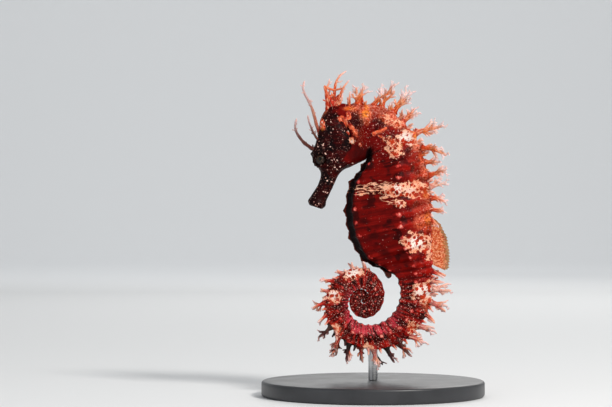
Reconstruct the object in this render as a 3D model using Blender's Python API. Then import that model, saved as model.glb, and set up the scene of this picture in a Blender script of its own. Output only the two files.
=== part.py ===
"""A long-snouted seahorse at life size, swimming upright with its tail coiled, on a plain display stand.

Units are millimetres in the tables and metres in the meshes. +Z is up, the head faces -X and the left
flank faces -Y. The origin is under the middle of the stand's base.

The whole animal is one ringed body, measured by its rings: ring 1 is the shoulder, ring 11 the last ring
of the trunk, and the tail runs on from there. The rings before 1 count back through the neck and the
head to the mouth. The body is divided into its named lengths by thin cuts between rings.
"""

import math

import bmesh
import bpy
import numpy as np
from mathutils import Vector

MM = 0.001

# Gaps between neighbouring solids
CUT = 0.15
CLEAR = 0.3
SHARP_ANGLE = 40

# Display stand
BASE_RADIUS = 29.0
BASE_HEIGHT = 4.0
BASE_BEVEL = 0.7
ROD_RADIUS = 1.2
ROD_TOP = 14.3

# Outline of the head, neck and trunk in side view, one row for each named ring:
# ring, (x, z) on the back, (x, z) on the belly, half of the width
MOUTH, SNOUT_ROOT, NAPE, SHOULDER, VENT, COIL_START = -18, -13, -5, 0.5, 11.5, 14
OUTLINE = (
    (-18, (-16.6, 50.0), (-13.0, 48.8), 1.75),
    (-17, (-16.5, 51.5), (-12.1, 50.3), 1.80),
    (-15, (-14.4, 55.0), (-10.4, 54.0), 1.55),
    (-13, (-13.8, 58.4), (-8.7, 57.5), 2.00),
    (-11.5, (-15.7, 61.1), (-7.3, 58.8), 3.20),
    (-10, (-15.5, 64.2), (-5.6, 59.5), 3.50),
    (-8.5, (-14.2, 67.9), (-3.9, 60.3), 3.70),
    (-7, (-13.5, 72.3), (-2.6, 61.0), 3.75),
    (-6, (-11.3, 74.5), (-1.6, 62.0), 3.70),
    (-4, (-4.2, 75.4), (-0.9, 63.6), 3.80),
    (-2, (3.9, 73.7), (-0.5, 63.4), 4.10),
    (0, (10.1, 67.6), (-1.3, 61.4), 4.60),
    (1.5, (12.6, 62.3), (-3.6, 58.6), 5.00),
    (3, (14.0, 57.2), (-6.1, 55.4), 5.40),
    (5, (14.7, 51.5), (-7.4, 48.1), 5.80),
    (7, (15.1, 45.8), (-6.2, 41.1), 5.60),
    (9, (15.3, 40.3), (-2.9, 35.4), 4.90),
    (11, (15.5, 34.8), (2.9, 32.5), 4.00),
    (12, (15.3, 32.5), (5.7, 31.1), 3.70),
    (13, (15.1, 30.0), (6.8, 29.1), 3.50),
)

# Coil of the tail: its centre, and its radius and half depth after each quarter turn
COIL_CENTRE = (-2.6, 25.0)
COIL_RADIUS = (13.5, 9.36, 6.63, 5.46, 3.33, 2.96, 1.96, 1.44, 0.47)
COIL_HALF_DEPTH = (3.95, 3.07, 3.04, 2.60, 2.05, 1.76, 1.27, 1.02, 0.42)
COIL_WIDTH_TO_DEPTH = 0.88
COIL_RINGS = 35
COIL_FIRST_ANGLE = -0.157
COIL_SWEEP = (6.31, 6.24)
TIP = COIL_START + COIL_RINGS

# Half cross-sections, from the belly's midline up to the back's: (height, width), each from -1 or 0 to 1
ROUND_SECTION = ((-1.0, 0.0), (-0.71, 0.71), (0.0, 1.0), (0.71, 0.71), (1.0, 0.0))
TRUNK_SECTION = ((-1.0, 0.0), (-0.80, 0.55), (0.26, 1.0), (1.0, 0.52), (0.93, 0.0))
TAIL_SECTION = ((-0.93, 0.0), (-1.0, 0.80), (0.0, 1.0), (1.0, 0.78), (0.93, 0.0))
VALLEY_SHARE = 0.05
KNOB_HEIGHT = 0.45
SECTION_STEPS = (0, 1, 1.5, 2, 2.5, 3, 4, 5, 5.5, 6, 6.5, 7)

# Eyes
EYE_CENTRE = (-13.4, 2.1, 61.4)
EYE_RADIUS = 1.5

# Skin fronds along the two upper ridges: ring, length, heading above +X in side view, all by side view
BACK_FRONDS = (
    (-4, 5.0, 84), (-3, 4.4, 62), (-2.5, 6.2, 78), (-1.7, 6.9, 53), (-1, 5.6, 33),
    (0, 8.8, 16), (1, 7.2, 2), (2, 4.4, 5), (3, 6.0, 14), (4, 5.2, 20),
    (5, 4.9, -2), (6, 3.6, -12), (7, 2.4, -25),
)
TAIL_FRONDS = (
    (12, 3.9, -20), (13, 3.2, -8), (14, 5.4, 0), (15, 4.9, -24), (16, 3.4, -36), (17, 4.2, -18),
    (18, 4.2, -28), (19, 4.9, -46), (20, 3.8, -66), (21, 5.0, -72), (22, 3.8, -86), (23, 4.6, -97),
    (24, 5.4, -101), (25, 4.4, -130), (26, 3.2, -140), (27, 3.6, -166), (28, 2.0, 172),
    (29, 3.3, 180), (30, 1.7, 150), (31, 1.7, 122), (32, 2.1, 98),
)
FROND_SPLAY = 20
FROND_SPREAD = 7
FROND_ROOT, FROND_STEM, FROND_TIP = 0.75, 0.42, 0.32
FROND_STOPS = (0.0, 0.36, 0.54, 0.74, 1.0)
BRANCH_SHARE = 0.40
BRANCH_SWING = 48
SHORT_FROND = 3.0

# Long threads on the face, by the points (x, y, z) that each passes on the left, with y outwards
FACE_THREADS = (
    ((-13.6, 0.8, 68.9), (-14.9, 1.1, 71.4), (-15.9, 1.5, 74.9), (-17.7, 2.1, 78.5), (-18.2, 2.5, 80.3),
     (-17.6, 2.8, 81.7)),
    ((-13.4, 1.2, 66.1), (-15.0, 1.8, 67.8), (-16.4, 2.6, 70.4), (-17.0, 3.2, 72.9)),
    ((-13.8, 1.5, 63.8), (-16.4, 2.0, 64.7), (-18.8, 2.8, 66.8), (-20.3, 3.4, 69.6), (-19.8, 3.7, 72.0)),
)
THREAD_ROOT = 0.46

# Coronet: a short stalk that parts into threads. Each thread has its foot across the top of the stalk
# (x, y), its heading, splay, length and turn
CORONET_FOOT = (-10.4, 0.0, 73.0)
CORONET_RADII = (2.3, 1.9)
CORONET_HEIGHT = 4.3
CORONET_THREADS = (
    ((-1.3, -0.7), 100, -6, 5.6, -18),
    ((0.3, 0.6), 92, 8, 8.9, -42),
    ((1.25, -0.6), 70, -10, 6.1, -12),
    ((0.9, 1.1), 66, 38, 5.2, 0),
    ((-0.9, 1.0), 88, 30, 4.4, 10),
)
CORONET_THREAD_RADII = (0.62, 0.46, 0.36, FROND_TIP)

# Fins: rays along the foot, and how far they reach
FIN_THICKNESS = 0.55
DORSAL_FIN_RINGS = (6.6, 11.2)
DORSAL_FIN_REACH = (2.2, 4.6, 3.9)
DORSAL_FIN_HEADINGS = (-14, -28)
PECTORAL_FOOT = (-4.9, 4.3, 69.0)
PECTORAL_FOOT_HEIGHT = 2.6
PECTORAL_REACH = (2.9, 3.4, 2.9)
PECTORAL_HEADINGS = (62, -56)
PECTORAL_SPLAY = 22
ANAL_FIN_FOOT = ((2.9, 32.9), (5.0, 32.1))
ANAL_FIN_EDGE = ((2.9, 31.0), (4.9, 29.8))

# Lengths of the body: node name, first and last ring
LENGTHS = (
    ("snout", MOUTH, SNOUT_ROOT),
    ("head", SNOUT_ROOT, NAPE),
    ("neck", NAPE, SHOULDER),
    ("trunk_upper", SHOULDER, 4.5),
    ("trunk_middle", 4.5, 7.5),
    ("trunk_lower", 7.5, VENT),
    ("tail_1", VENT, 15.5),
    ("tail_2", 15.5, 19.5),
    ("tail_3", 19.5, 23.5),
    ("tail_4", 23.5, 27.5),
    ("tail_5", 27.5, 32.5),
    ("tail_6", 32.5, 38.5),
    ("tail_7", 38.5, TIP),
)

# Colours: name, linear RGB, roughness, metallic
FINISHES = {
    "dark_skin": ((0.030, 0.004, 0.004), 0.45, 0.0),
    "red_skin": ((0.260, 0.012, 0.006), 0.45, 0.0),
    "frond_skin": ((0.560, 0.110, 0.040), 0.50, 0.0),
    "fin_skin": ((0.430, 0.170, 0.050), 0.40, 0.0),
    "eye": ((0.015, 0.010, 0.008), 0.10, 0.0),
    "stand_black": ((0.020, 0.020, 0.022), 0.40, 0.0),
    "stand_steel": ((0.600, 0.600, 0.600), 0.30, 1.0),
}


def clear_scene():
    for obj in list(bpy.data.objects):
        bpy.data.objects.remove(obj)


def finish(name):
    """The Principled material of that name, made once."""
    material = bpy.data.materials.get(name)
    if material is None:
        colour, roughness, metallic = FINISHES[name]
        material = bpy.data.materials.new(name)
        material.use_nodes = True
        shader = material.node_tree.nodes["Principled BSDF"]
        shader.inputs["Base Color"].default_value = (*colour, 1.0)
        shader.inputs["Roughness"].default_value = roughness
        shader.inputs["Metallic"].default_value = metallic
    return material


def smooth_curve(at, knots, values):
    """Values at the places `at`, on a cubic through every knot whose slope there is its neighbours'."""
    knots, values = np.asarray(knots, float), np.asarray(values, float)
    slopes = np.gradient(values, knots, axis=0)
    i = np.clip(np.searchsorted(knots, at, side="right") - 1, 0, len(knots) - 2)
    span = knots[i + 1] - knots[i]
    u = (at - knots[i]) / span
    h00, h10 = 2 * u**3 - 3 * u**2 + 1, u**3 - 2 * u**2 + u
    h01, h11 = 3 * u**2 - 2 * u**3, u**3 - u**2
    wide = (slice(None),) + (None,) * (values.ndim - 1)
    return (
        h00[wide] * values[i] + (h10 * span)[wide] * slopes[i]
        + h01[wide] * values[i + 1] + (h11 * span)[wide] * slopes[i + 1]
    )


def coil_knots():
    """Rows like OUTLINE's for the coiled tail: radius and depth follow the quarter-turn tables."""
    rings = np.arange(COIL_START, TIP + 1)
    along = (rings - COIL_START) / COIL_RINGS
    angle = COIL_FIRST_ANGLE + COIL_SWEEP[0] * along + COIL_SWEEP[1] * along**2
    quarters = np.arange(len(COIL_RADIUS))
    radius = smooth_curve(angle * 2 / math.pi, quarters, COIL_RADIUS)
    depth = smooth_curve(angle * 2 / math.pi, quarters, COIL_HALF_DEPTH)
    ray = np.stack([np.cos(angle), -np.sin(angle)], axis=1)
    back = COIL_CENTRE + ray * (radius + depth)[:, None]
    belly = COIL_CENTRE + ray * (radius - depth)[:, None]
    return rings, back, belly, depth * COIL_WIDTH_TO_DEPTH


def body_knots():
    """(rings, back points, belly points, half widths) from the mouth to the tip of the tail."""
    rings, back, belly, width = coil_knots()
    return (
        np.concatenate([[row[0] for row in OUTLINE], rings]),
        np.concatenate([[row[1] for row in OUTLINE], back]),
        np.concatenate([[row[2] for row in OUTLINE], belly]),
        np.concatenate([[row[3] for row in OUTLINE], width]),
    )


KNOTS = body_knots()


def outline(rings):
    """Back and belly points in side view, and the half width, at the rings."""
    rings = np.asarray(rings, float)
    return tuple(smooth_curve(rings, KNOTS[0], values) for values in KNOTS[1:])


def ramp(at, start, end):
    """0 before start, 1 after end, and smooth between."""
    u = np.clip((at - start) / (end - start), 0, 1)
    return u * u * (3 - 2 * u)


def half_section(ring, steps):
    """(height, width) at the steps, 0 to 4 from belly to back: flat between ridges on the armoured body,
    rounded on the head."""
    armour, tail = ramp(ring, -4, 1.5), ramp(ring, 10.5, 13)
    corners = np.array(ROUND_SECTION) * (1 - armour) + np.array(TRUNK_SECTION) * armour
    corners = corners * (1 - tail) + np.array(TAIL_SECTION) * tail
    flat = np.stack([np.interp(steps, range(5), corners[:, k]) for k in (0, 1)], axis=1)
    mirrored = np.concatenate([corners[:0:-1] * (1, -1), corners, corners[-2::-1] * (1, -1)])
    curved = smooth_curve(steps, np.arange(-4, 9), mirrored)
    return curved + (flat - curved) * armour


def section(ring, grow=0.0, shift=0.0):
    """The closed loop of points (x, y, z) round one ring. grow makes it larger all round, and shift moves
    it along the body, both in mm."""
    back, belly, width = (values[0] for values in outline([ring]))
    middle, up = (back + belly) / 2, (back - belly) / 2
    depth = np.linalg.norm(up)
    steps = np.array(SECTION_STEPS, float)
    left = steps <= 4
    shape = half_section(ring, np.where(left, steps, 8 - steps))
    armour = float(ramp(ring, 0, 1.5))
    valley = abs(ring - round(ring)) * 2
    scale = 1 - VALLEY_SHARE * valley * armour
    on_ridge = np.isin(steps % 4, (1, 3)) | ((steps % 4 == 2) & (ring < VENT))
    knob = KNOB_HEIGHT * armour * (1 - valley) * on_ridge * min(1.0, width / 3)
    height = shape[:, 0] * (depth * scale + grow + knob)
    aside = shape[:, 1] * (width * scale + grow + knob) * np.where(left, -1, 1)
    along = np.array([up[1], -up[0]]) / depth * shift
    side_view = middle + np.outer(height, up / depth) + along
    return np.stack([side_view[:, 0], aside, side_view[:, 1]], axis=1)


def ridge_point(ring, side):
    """The foot of a frond, just under the surface of the upper ridge."""
    back, belly, width = (values[0] for values in outline([ring]))
    up = (back - belly) / np.linalg.norm(back - belly)
    depth = np.linalg.norm(back - belly) / 2
    height, aside = half_section(ring, np.array([3.6 - 0.6 * float(ramp(ring, -4, 1.5))]))[0]
    foot = (back + belly) / 2 + up * (height * depth - FROND_ROOT * 0.8)
    return np.array([foot[0], side * (aside * width - FROND_ROOT * 0.6), foot[1]])


def mesh_object(name, points, faces, material):
    """A mesh object from points in mm, with its faces turned outwards."""
    mesh = bpy.data.meshes.new(name)
    mesh.from_pydata([Vector(p) * MM for p in points], [], faces)
    builder = bmesh.new()
    builder.from_mesh(mesh)
    bmesh.ops.recalc_face_normals(builder, faces=builder.faces)
    builder.to_mesh(mesh)
    builder.free()
    mesh.shade_smooth()
    mesh.set_sharp_from_angle(angle=math.radians(SHARP_ANGLE))
    mesh.materials.append(finish(material))
    obj = bpy.data.objects.new(name, mesh)
    bpy.context.scene.collection.objects.link(obj)
    return obj


def loft(loops):
    """Points and faces of a closed shape carried through loops of equally many points, with capped ends."""
    around = len(loops[0])
    points = [point for loop in loops for point in loop]
    faces = [
        (i * around + j, i * around + (j + 1) % around, (i + 1) * around + (j + 1) % around, (i + 1) * around + j)
        for i in range(len(loops) - 1)
        for j in range(around)
    ]
    faces.append(tuple(reversed(range(around))))
    faces.append(tuple(range(len(points) - around, len(points))))
    return points, faces


def joined(shapes):
    """Several (points, faces) shapes as one."""
    points, faces = [], []
    for more_points, more_faces in shapes:
        faces += [tuple(v + len(points) for v in face) for face in more_faces]
        points += list(more_points)
    return points, faces


def body_stations(first, last):
    """Rings of a length of the body: its ends, and each crest and valley between them."""
    step = 0.5 if first >= SHOULDER else 1.0
    inner = np.arange(math.ceil(first / step), math.floor(last / step) + 1) * step
    inner = [ring for ring in inner if first + 0.2 < ring < last - 0.2]
    return [first, *inner, last]


def body_loft(first, last, grow=0.0):
    """Points and faces of the body between two rings, drawn in from each cut by CUT, less what it grows by."""
    rings = body_stations(first, last)
    ends = {0: CUT - grow, len(rings) - 1: -(CUT - grow)}
    loops = [section(ring, grow, ends.get(i, 0.0)) for i, ring in enumerate(rings)]
    return loft(loops)


def tube(path, radii, sides):
    """Points and faces of a tube along a path of points, with a radius at each."""
    path = np.asarray(path, float)
    tangents = np.gradient(path, axis=0)
    tangents /= np.linalg.norm(tangents, axis=1)[:, None]
    across = np.cross(tangents, (0.31, 0.90, 0.29))
    across /= np.linalg.norm(across, axis=1)[:, None]
    other = np.cross(tangents, across)
    loops = []
    for centre, radius, u, v in zip(path, radii, across, other):
        turn = [2 * math.pi * k / sides for k in range(sides)]
        loops.append([centre + radius * (math.cos(a) * u + math.sin(a) * v) for a in turn])
    return loft(loops)


def heading_vector(heading, splay, side):
    """A unit vector by its heading above +X in side view and its splay away from the middle, in degrees."""
    h, s = math.radians(heading), math.radians(splay)
    return np.array([math.cos(h) * math.cos(s), side * math.sin(s), math.sin(h) * math.cos(s)])


def thread_path(foot, length, heading, turn, splay, side, points=5):
    """Points along a thread that leaves at a heading and turns evenly along its length."""
    path = [np.asarray(foot, float)]
    step = length / (points - 1)
    for k in range(points - 1):
        way = heading_vector(heading + turn * (k + 0.5) / (points - 1), splay, side)
        path.append(path[-1] + way * step)
    return path


def branched(path, radii, swings, length):
    """A four-sided stem with a short branch drawn out of one side of each inner length, in turn to its left
    and its right."""
    points, faces = tube(path, radii, 4)
    points = list(points)
    for k, swing in enumerate(swings, start=1):
        sides = faces[4 * k:4 * k + 4]
        middles = [sum(points[v] for v in side) / 4 for side in sides]
        best = max(range(4), key=lambda j: float(np.dot(middles[j] - path[k], swing)))
        root = sides[best]
        tip = middles[best] + swing * length * BRANCH_SHARE * (1.15 - 0.15 * k)
        first = len(points)
        points += [tip + (points[v] - middles[best]) * 0.62 for v in root]
        faces[4 * k + best] = (first, first + 1, first + 2, first + 3)
        faces += [
            (root[j], root[(j + 1) % 4], first + (j + 1) % 4, first + j)
            for j in range(4)
        ]
    return points, faces


def frond(ring, length, heading, side):
    """A frond's stem with its two branches, or the bare stem of a short one."""
    foot = ridge_point(ring, side)
    turn = 14 * math.sin(2.4 * ring + side)
    heading += FROND_SPREAD * side
    length += FROND_ROOT
    count = 3 if length < SHORT_FROND + FROND_ROOT else len(FROND_STOPS)
    path = thread_path(foot, length, heading, turn, FROND_SPLAY, side, points=9)
    stops = np.linspace(0, 8, count) if count == 3 else np.array(FROND_STOPS) * 8
    path = np.stack([np.interp(stops, range(9), np.array(path)[:, k]) for k in range(3)], axis=1)
    radii = np.interp(stops, (0, 3, 8), (FROND_ROOT, FROND_STEM, FROND_TIP))
    if count == 3:
        return tube(path, radii, 4)
    swings = [
        heading_vector(heading + BRANCH_SWING * side * way, FROND_SPLAY * splay, side)
        for way, splay in ((1, 1.4), (-1, 0.2))
    ]
    return branched(path, radii, swings, length)


def frond_shapes(first, last):
    """All fronds rooted between two rings, on both sides."""
    rows = [row for row in (*BACK_FRONDS, *TAIL_FRONDS) if first < row[0] < last]
    return [frond(*row, side) for row in rows for side in (-1, 1)]


def face_threads():
    """The long threads on the brow, on both sides."""
    shapes = []
    for stops in FACE_THREADS:
        at = np.linspace(0, len(stops) - 1, 7)
        path = smooth_curve(at, range(len(stops)), stops)
        radii = np.linspace(THREAD_ROOT, FROND_TIP, 7)
        shapes += [tube(path * (1, side, 1), radii, 4) for side in (-1, 1)]
    return shapes


def boolean(obj, operation, other):
    """Adds a Boolean with a hidden helper object."""
    other.hide_render = True
    other.display_type = "WIRE"
    modifier = obj.modifiers.new(operation.lower(), "BOOLEAN")
    modifier.operation = operation
    modifier.solver = "EXACT"
    modifier.object = other
    modifier.use_self = operation == "UNION"


def helper(name, shapes):
    return mesh_object("helper_" + name, *joined(shapes), "red_skin")


def ball(name, centre, radius, material, segments=12):
    mesh = bpy.data.meshes.new(name)
    builder = bmesh.new()
    bmesh.ops.create_uvsphere(builder, u_segments=segments, v_segments=segments // 2, radius=radius * MM)
    builder.to_mesh(mesh)
    builder.free()
    mesh.shade_smooth()
    obj = bpy.data.objects.new(name, mesh)
    obj.location = Vector(centre) * MM
    bpy.context.scene.collection.objects.link(obj)
    mesh.materials.append(finish(material))
    return obj


def make_body():
    """Each named length of the body, with the fronds that grow from it."""
    made = {}
    for name, first, last in LENGTHS:
        material = "dark_skin" if last <= NAPE else "red_skin"
        made[name] = mesh_object(name, *body_loft(first, last), material)
        shapes = frond_shapes(first, last)
        if name == "head":
            shapes = face_threads()
        if shapes:
            boolean(made[name], "UNION", helper(name + "_fronds", shapes))
    return made


def make_eyes(head):
    """An eyeball on each side, in a socket cut a little wider."""
    x, y, z = EYE_CENTRE
    for name, side in (("eye_left", -1), ("eye_right", 1)):
        ball(name, (x, side * y, z), EYE_RADIUS, "eye")
        socket = ball("helper_" + name, (x, side * y, z), EYE_RADIUS + CLEAR, "eye")
        boolean(head, "DIFFERENCE", socket)


def make_coronet():
    """The crown of the head: a short stalk that parts into threads, standing on the head's own surface."""
    foot = np.array(CORONET_FOOT)
    up = np.array([0.0, 0.0, CORONET_HEIGHT])
    stalk = tube([foot, foot + up / 2, foot + up], np.linspace(*CORONET_RADII, 3), 10)
    shapes = []
    for (x, y), heading, splay, length, turn in CORONET_THREADS:
        side = math.copysign(1, splay)
        start = foot + up + (x, y, -0.8)
        path = thread_path(start, length, heading, turn, abs(splay), side, points=4)
        shapes.append(tube(path, CORONET_THREAD_RADII, 5))
    coronet = mesh_object("coronet", *stalk, "frond_skin")
    boolean(coronet, "UNION", helper("coronet_threads", shapes))
    grown = helper("head_and_neck_grown", [body_loft(-9.5, -1.0, grow=CLEAR)])
    boolean(coronet, "DIFFERENCE", grown)


def fan(name, feet, tips, material):
    """A thin fin between a row of feet and a row of tips, as thick as FIN_THICKNESS across the fan."""
    feet, tips = np.asarray(feet, float), np.asarray(tips, float)
    normal = np.cross(tips[len(tips) // 2] - feet[len(feet) // 2], feet[-1] - feet[0])
    half = normal / np.linalg.norm(normal) * FIN_THICKNESS / 2
    rim = np.concatenate([feet, tips[::-1]])
    return mesh_object(name, *loft([list(rim - half), list(rim + half)]), material)


def make_dorsal_fin():
    """The fin on the back over the last rings of the trunk, cut where it meets the back."""
    along = np.linspace(0, 1, 10)
    rings = np.interp(along, (0, 1), DORSAL_FIN_RINGS)
    back, belly, _ = outline(rings)
    reach = np.interp(along, (0, 0.5, 1), DORSAL_FIN_REACH)
    heading = np.radians(np.interp(along, (0, 1), DORSAL_FIN_HEADINGS))
    way = np.stack([np.cos(heading), np.sin(heading)], axis=1)
    inwards = (belly - back) / np.linalg.norm(back - belly, axis=1)[:, None]
    edges = (back + inwards, back + way * reach[:, None])
    feet, tips = [np.stack([p[:, 0], np.zeros(len(p)), p[:, 1]], axis=1) for p in edges]
    fin = fan("dorsal_fin", feet, tips, "fin_skin")
    boolean(fin, "DIFFERENCE", helper("trunk_grown", [body_loft(5, 13.5, grow=CLEAR)]))


def make_pectoral_fins():
    """The small fan behind each cheek, standing clear of the neck and flaring outwards."""
    x, y, z = PECTORAL_FOOT
    along = np.linspace(0, 1, 8)
    headings = np.interp(along, (0, 1), PECTORAL_HEADINGS)
    reach = np.interp(along, (0, 0.5, 1), PECTORAL_REACH)
    for name, side in (("pectoral_fin_left", -1), ("pectoral_fin_right", 1)):
        feet = np.array([(x, side * y, z - PECTORAL_FOOT_HEIGHT * u) for u in along])
        ways = [heading_vector(heading, PECTORAL_SPLAY, side) for heading in headings]
        fan(name, feet, feet + np.array(ways) * reach[:, None], "fin_skin")


def make_anal_fin():
    """The tiny fin at the vent, under the last ring of the trunk."""
    feet, tips = [[(x, 0.0, z) for x, z in edge] for edge in (ANAL_FIN_FOOT, ANAL_FIN_EDGE)]
    fin = fan("anal_fin", feet, tips, "fin_skin")
    boolean(fin, "DIFFERENCE", helper("vent_grown", [body_loft(9, 14, grow=CLEAR)]))


def turned(name, profile, segments, material):
    """A shape turned round Z from its (radius, height) profile, closed top and bottom."""
    loops = []
    for radius, height in profile:
        turn = [2 * math.pi * k / segments for k in range(segments)]
        loops.append([(radius * math.cos(a), radius * math.sin(a), height) for a in turn])
    return mesh_object(name, *loft(loops), material)


def make_stand(tail):
    """A flat round base and one short rod that ends in a socket in the underside of the tail."""
    edge = BASE_RADIUS - BASE_BEVEL
    profile = (
        (edge, 0.0),
        (BASE_RADIUS, BASE_BEVEL),
        (BASE_RADIUS, BASE_HEIGHT - BASE_BEVEL),
        (edge, BASE_HEIGHT),
    )
    turned("stand_base", profile, 48, "stand_black")
    rod = ((ROD_RADIUS, BASE_HEIGHT + CLEAR / 3), (ROD_RADIUS, ROD_TOP))
    turned("stand_rod", rod, 20, "stand_steel")
    socket = ((ROD_RADIUS + CLEAR, BASE_HEIGHT), (ROD_RADIUS + CLEAR, ROD_TOP + CLEAR))
    boolean(tail, "DIFFERENCE", turned("helper_socket", socket, 20, "stand_steel"))


def main():
    clear_scene()
    body = make_body()
    make_eyes(body["head"])
    make_coronet()
    make_dorsal_fin()
    make_pectoral_fins()
    make_anal_fin()
    make_stand(body["tail_3"])


main()
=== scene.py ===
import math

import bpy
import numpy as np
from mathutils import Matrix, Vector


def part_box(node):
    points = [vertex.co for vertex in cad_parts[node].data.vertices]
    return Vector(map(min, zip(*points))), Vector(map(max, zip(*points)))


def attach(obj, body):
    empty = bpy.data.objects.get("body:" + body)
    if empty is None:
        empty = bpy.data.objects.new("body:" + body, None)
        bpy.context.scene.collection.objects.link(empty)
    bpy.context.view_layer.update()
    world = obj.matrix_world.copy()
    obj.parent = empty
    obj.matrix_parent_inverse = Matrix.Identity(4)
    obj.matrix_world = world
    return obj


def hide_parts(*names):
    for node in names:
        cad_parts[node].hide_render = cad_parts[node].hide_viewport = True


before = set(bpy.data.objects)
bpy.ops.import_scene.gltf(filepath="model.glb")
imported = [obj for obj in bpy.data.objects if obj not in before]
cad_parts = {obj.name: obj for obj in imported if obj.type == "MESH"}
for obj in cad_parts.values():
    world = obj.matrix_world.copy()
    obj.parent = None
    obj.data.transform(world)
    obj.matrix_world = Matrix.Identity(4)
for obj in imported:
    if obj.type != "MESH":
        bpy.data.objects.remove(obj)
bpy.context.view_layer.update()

# The looks of a long-snouted seahorse, swimming upright on a plain display stand.
#
# Lengths are in millimetres until a mesh is made. The body is measured by its rings: ring 1 is the shoulder,
# ring 11 the last ring of the trunk, and the tail runs on from there. Rings before 1 count back through the
# neck and the head to the mouth. Round each ring, "step" runs from 0 at the belly's midline over the left
# flank to 4 at the back's midline, and on over the right flank to 8.

MM = 0.001

# ------------------------------------------------------------------------------------------------- shape

MOUTH, CHIN, NAPE, VENT, COIL_START = -18, -13, -5, 11.5, 14

# ring, (x, z) on the back, (x, z) on the belly, half of the width
OUTLINE = (
    (-18, (-16.6, 50.0), (-13.0, 48.8), 1.75),
    (-17, (-16.5, 51.5), (-12.1, 50.3), 1.80),
    (-15, (-14.4, 55.0), (-10.4, 54.0), 1.55),
    (-13, (-13.8, 58.4), (-8.7, 57.5), 2.00),
    (-11.5, (-15.7, 61.1), (-7.3, 58.8), 3.20),
    (-10, (-15.5, 64.2), (-5.6, 59.5), 3.50),
    (-8.5, (-14.2, 67.9), (-3.9, 60.3), 3.70),
    (-7, (-13.5, 72.3), (-2.6, 61.0), 3.75),
    (-6, (-11.3, 74.5), (-1.6, 62.0), 3.70),
    (-4, (-4.2, 75.4), (-0.9, 63.6), 3.80),
    (-2, (3.9, 73.7), (-0.5, 63.4), 4.10),
    (0, (10.1, 67.6), (-1.3, 61.4), 4.60),
    (1.5, (12.6, 62.3), (-3.6, 58.6), 5.00),
    (3, (14.0, 57.2), (-6.1, 55.4), 5.40),
    (5, (14.7, 51.5), (-7.4, 48.1), 5.80),
    (7, (15.1, 45.8), (-6.2, 41.1), 5.60),
    (9, (15.3, 40.3), (-2.9, 35.4), 4.90),
    (11, (15.5, 34.8), (2.9, 32.5), 4.00),
    (12, (15.3, 32.5), (5.7, 31.1), 3.70),
    (13, (15.1, 30.0), (6.8, 29.1), 3.50),
)

# The tail's coil: its centre, and its radius and half depth after each quarter turn. From its first angle it
# sweeps on with the share of the way along it, with the share squared, and with its sixth power. The point of
# the tip lies beyond the last ring by its reach.
COIL_CENTRE = (-2.6, 25.0)
COIL_RADIUS = (13.5, 9.36, 6.63, 5.46, 3.33, 2.90, 1.90, 1.43, 0.52, 0.40)
COIL_HALF_DEPTH = (3.95, 3.07, 3.04, 2.60, 2.05, 1.82, 1.60, 1.28, 0.78, 0.60)
COIL_WIDTH_TO_DEPTH = 0.88
COIL_RINGS = 35
COIL_FIRST_ANGLE = -0.157
COIL_SWEEP = (6.31, 6.24, 1.60)
TIP_REACH = (-0.55, 0.0, 0.0)
TIP = COIL_START + COIL_RINGS

# Half cross-sections from the belly's midline up to the back's, one corner for each step: (height, width)
ROUND_SECTION = ((-1.0, 0.0), (-0.71, 0.71), (0.0, 1.0), (0.71, 0.71), (1.0, 0.0))
TRUNK_SECTION = ((-1.0, 0.0), (-0.80, 0.55), (0.26, 1.0), (1.0, 0.52), (0.93, 0.0))
TAIL_SECTION = ((-0.93, 0.0), (-1.0, 0.80), (0.0, 1.0), (1.0, 0.78), (0.93, 0.0))
# How far a ridge is rounded to each side, in steps, and how far the body lies inside its outline, which runs
# out over the coil's inner rings
CORNER_ROUNDING = 0.16
SKIN_DEPTH = 0.12
COIL_INNER = (27, 32)

# How many rows of the skin's grid lie along each stretch, and how many points round each row
SKIN_ROWS = (
    (MOUTH, CHIN, 96), (CHIN, NAPE, 190), (NAPE, 1, 84), (1, VENT, 126), (VENT, 30, 150), (30, TIP, 92),
)
SKIN_ROUND = 128

# Relief of the skin. A cone's rise is for each millimetre of the frond on it, on the back and on the tail.
RING_CREST = 0.17
RING_GROOVE = 0.13
FACET_HOLLOW = 0.34
CONE_RISE = (0.23, 0.15)
KNOBS = (  # step of the ridge, height, on every ring from, to, and the share that even rings have
    (0, 0.50, 1, 11, 0.35),
    (1, 0.40, 1, 11, 0.5),
    (2, 0.62, 1, 11, 0.55),
    (3, 0.25, -4, 11, 0.8),
    (1, 0.42, 12, 40, 0.8),
    (2, 0.22, 12, 34, 0.7),
    (3, 0.30, 12, 40, 0.8),
)
EYE_AXIS = (-13.4, 61.4)
EYE_RADIUS = 1.5

# The gill cover in side view, the slit behind it as a share of its radii, and the heights over which it opens
GILL_CENTRE = (-11.2, 66.2)
GILL_RADII = (5.0, 6.3)
SLIT_AT = 1.07
SLIT_HEIGHTS = (61.5, 65.5)

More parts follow.
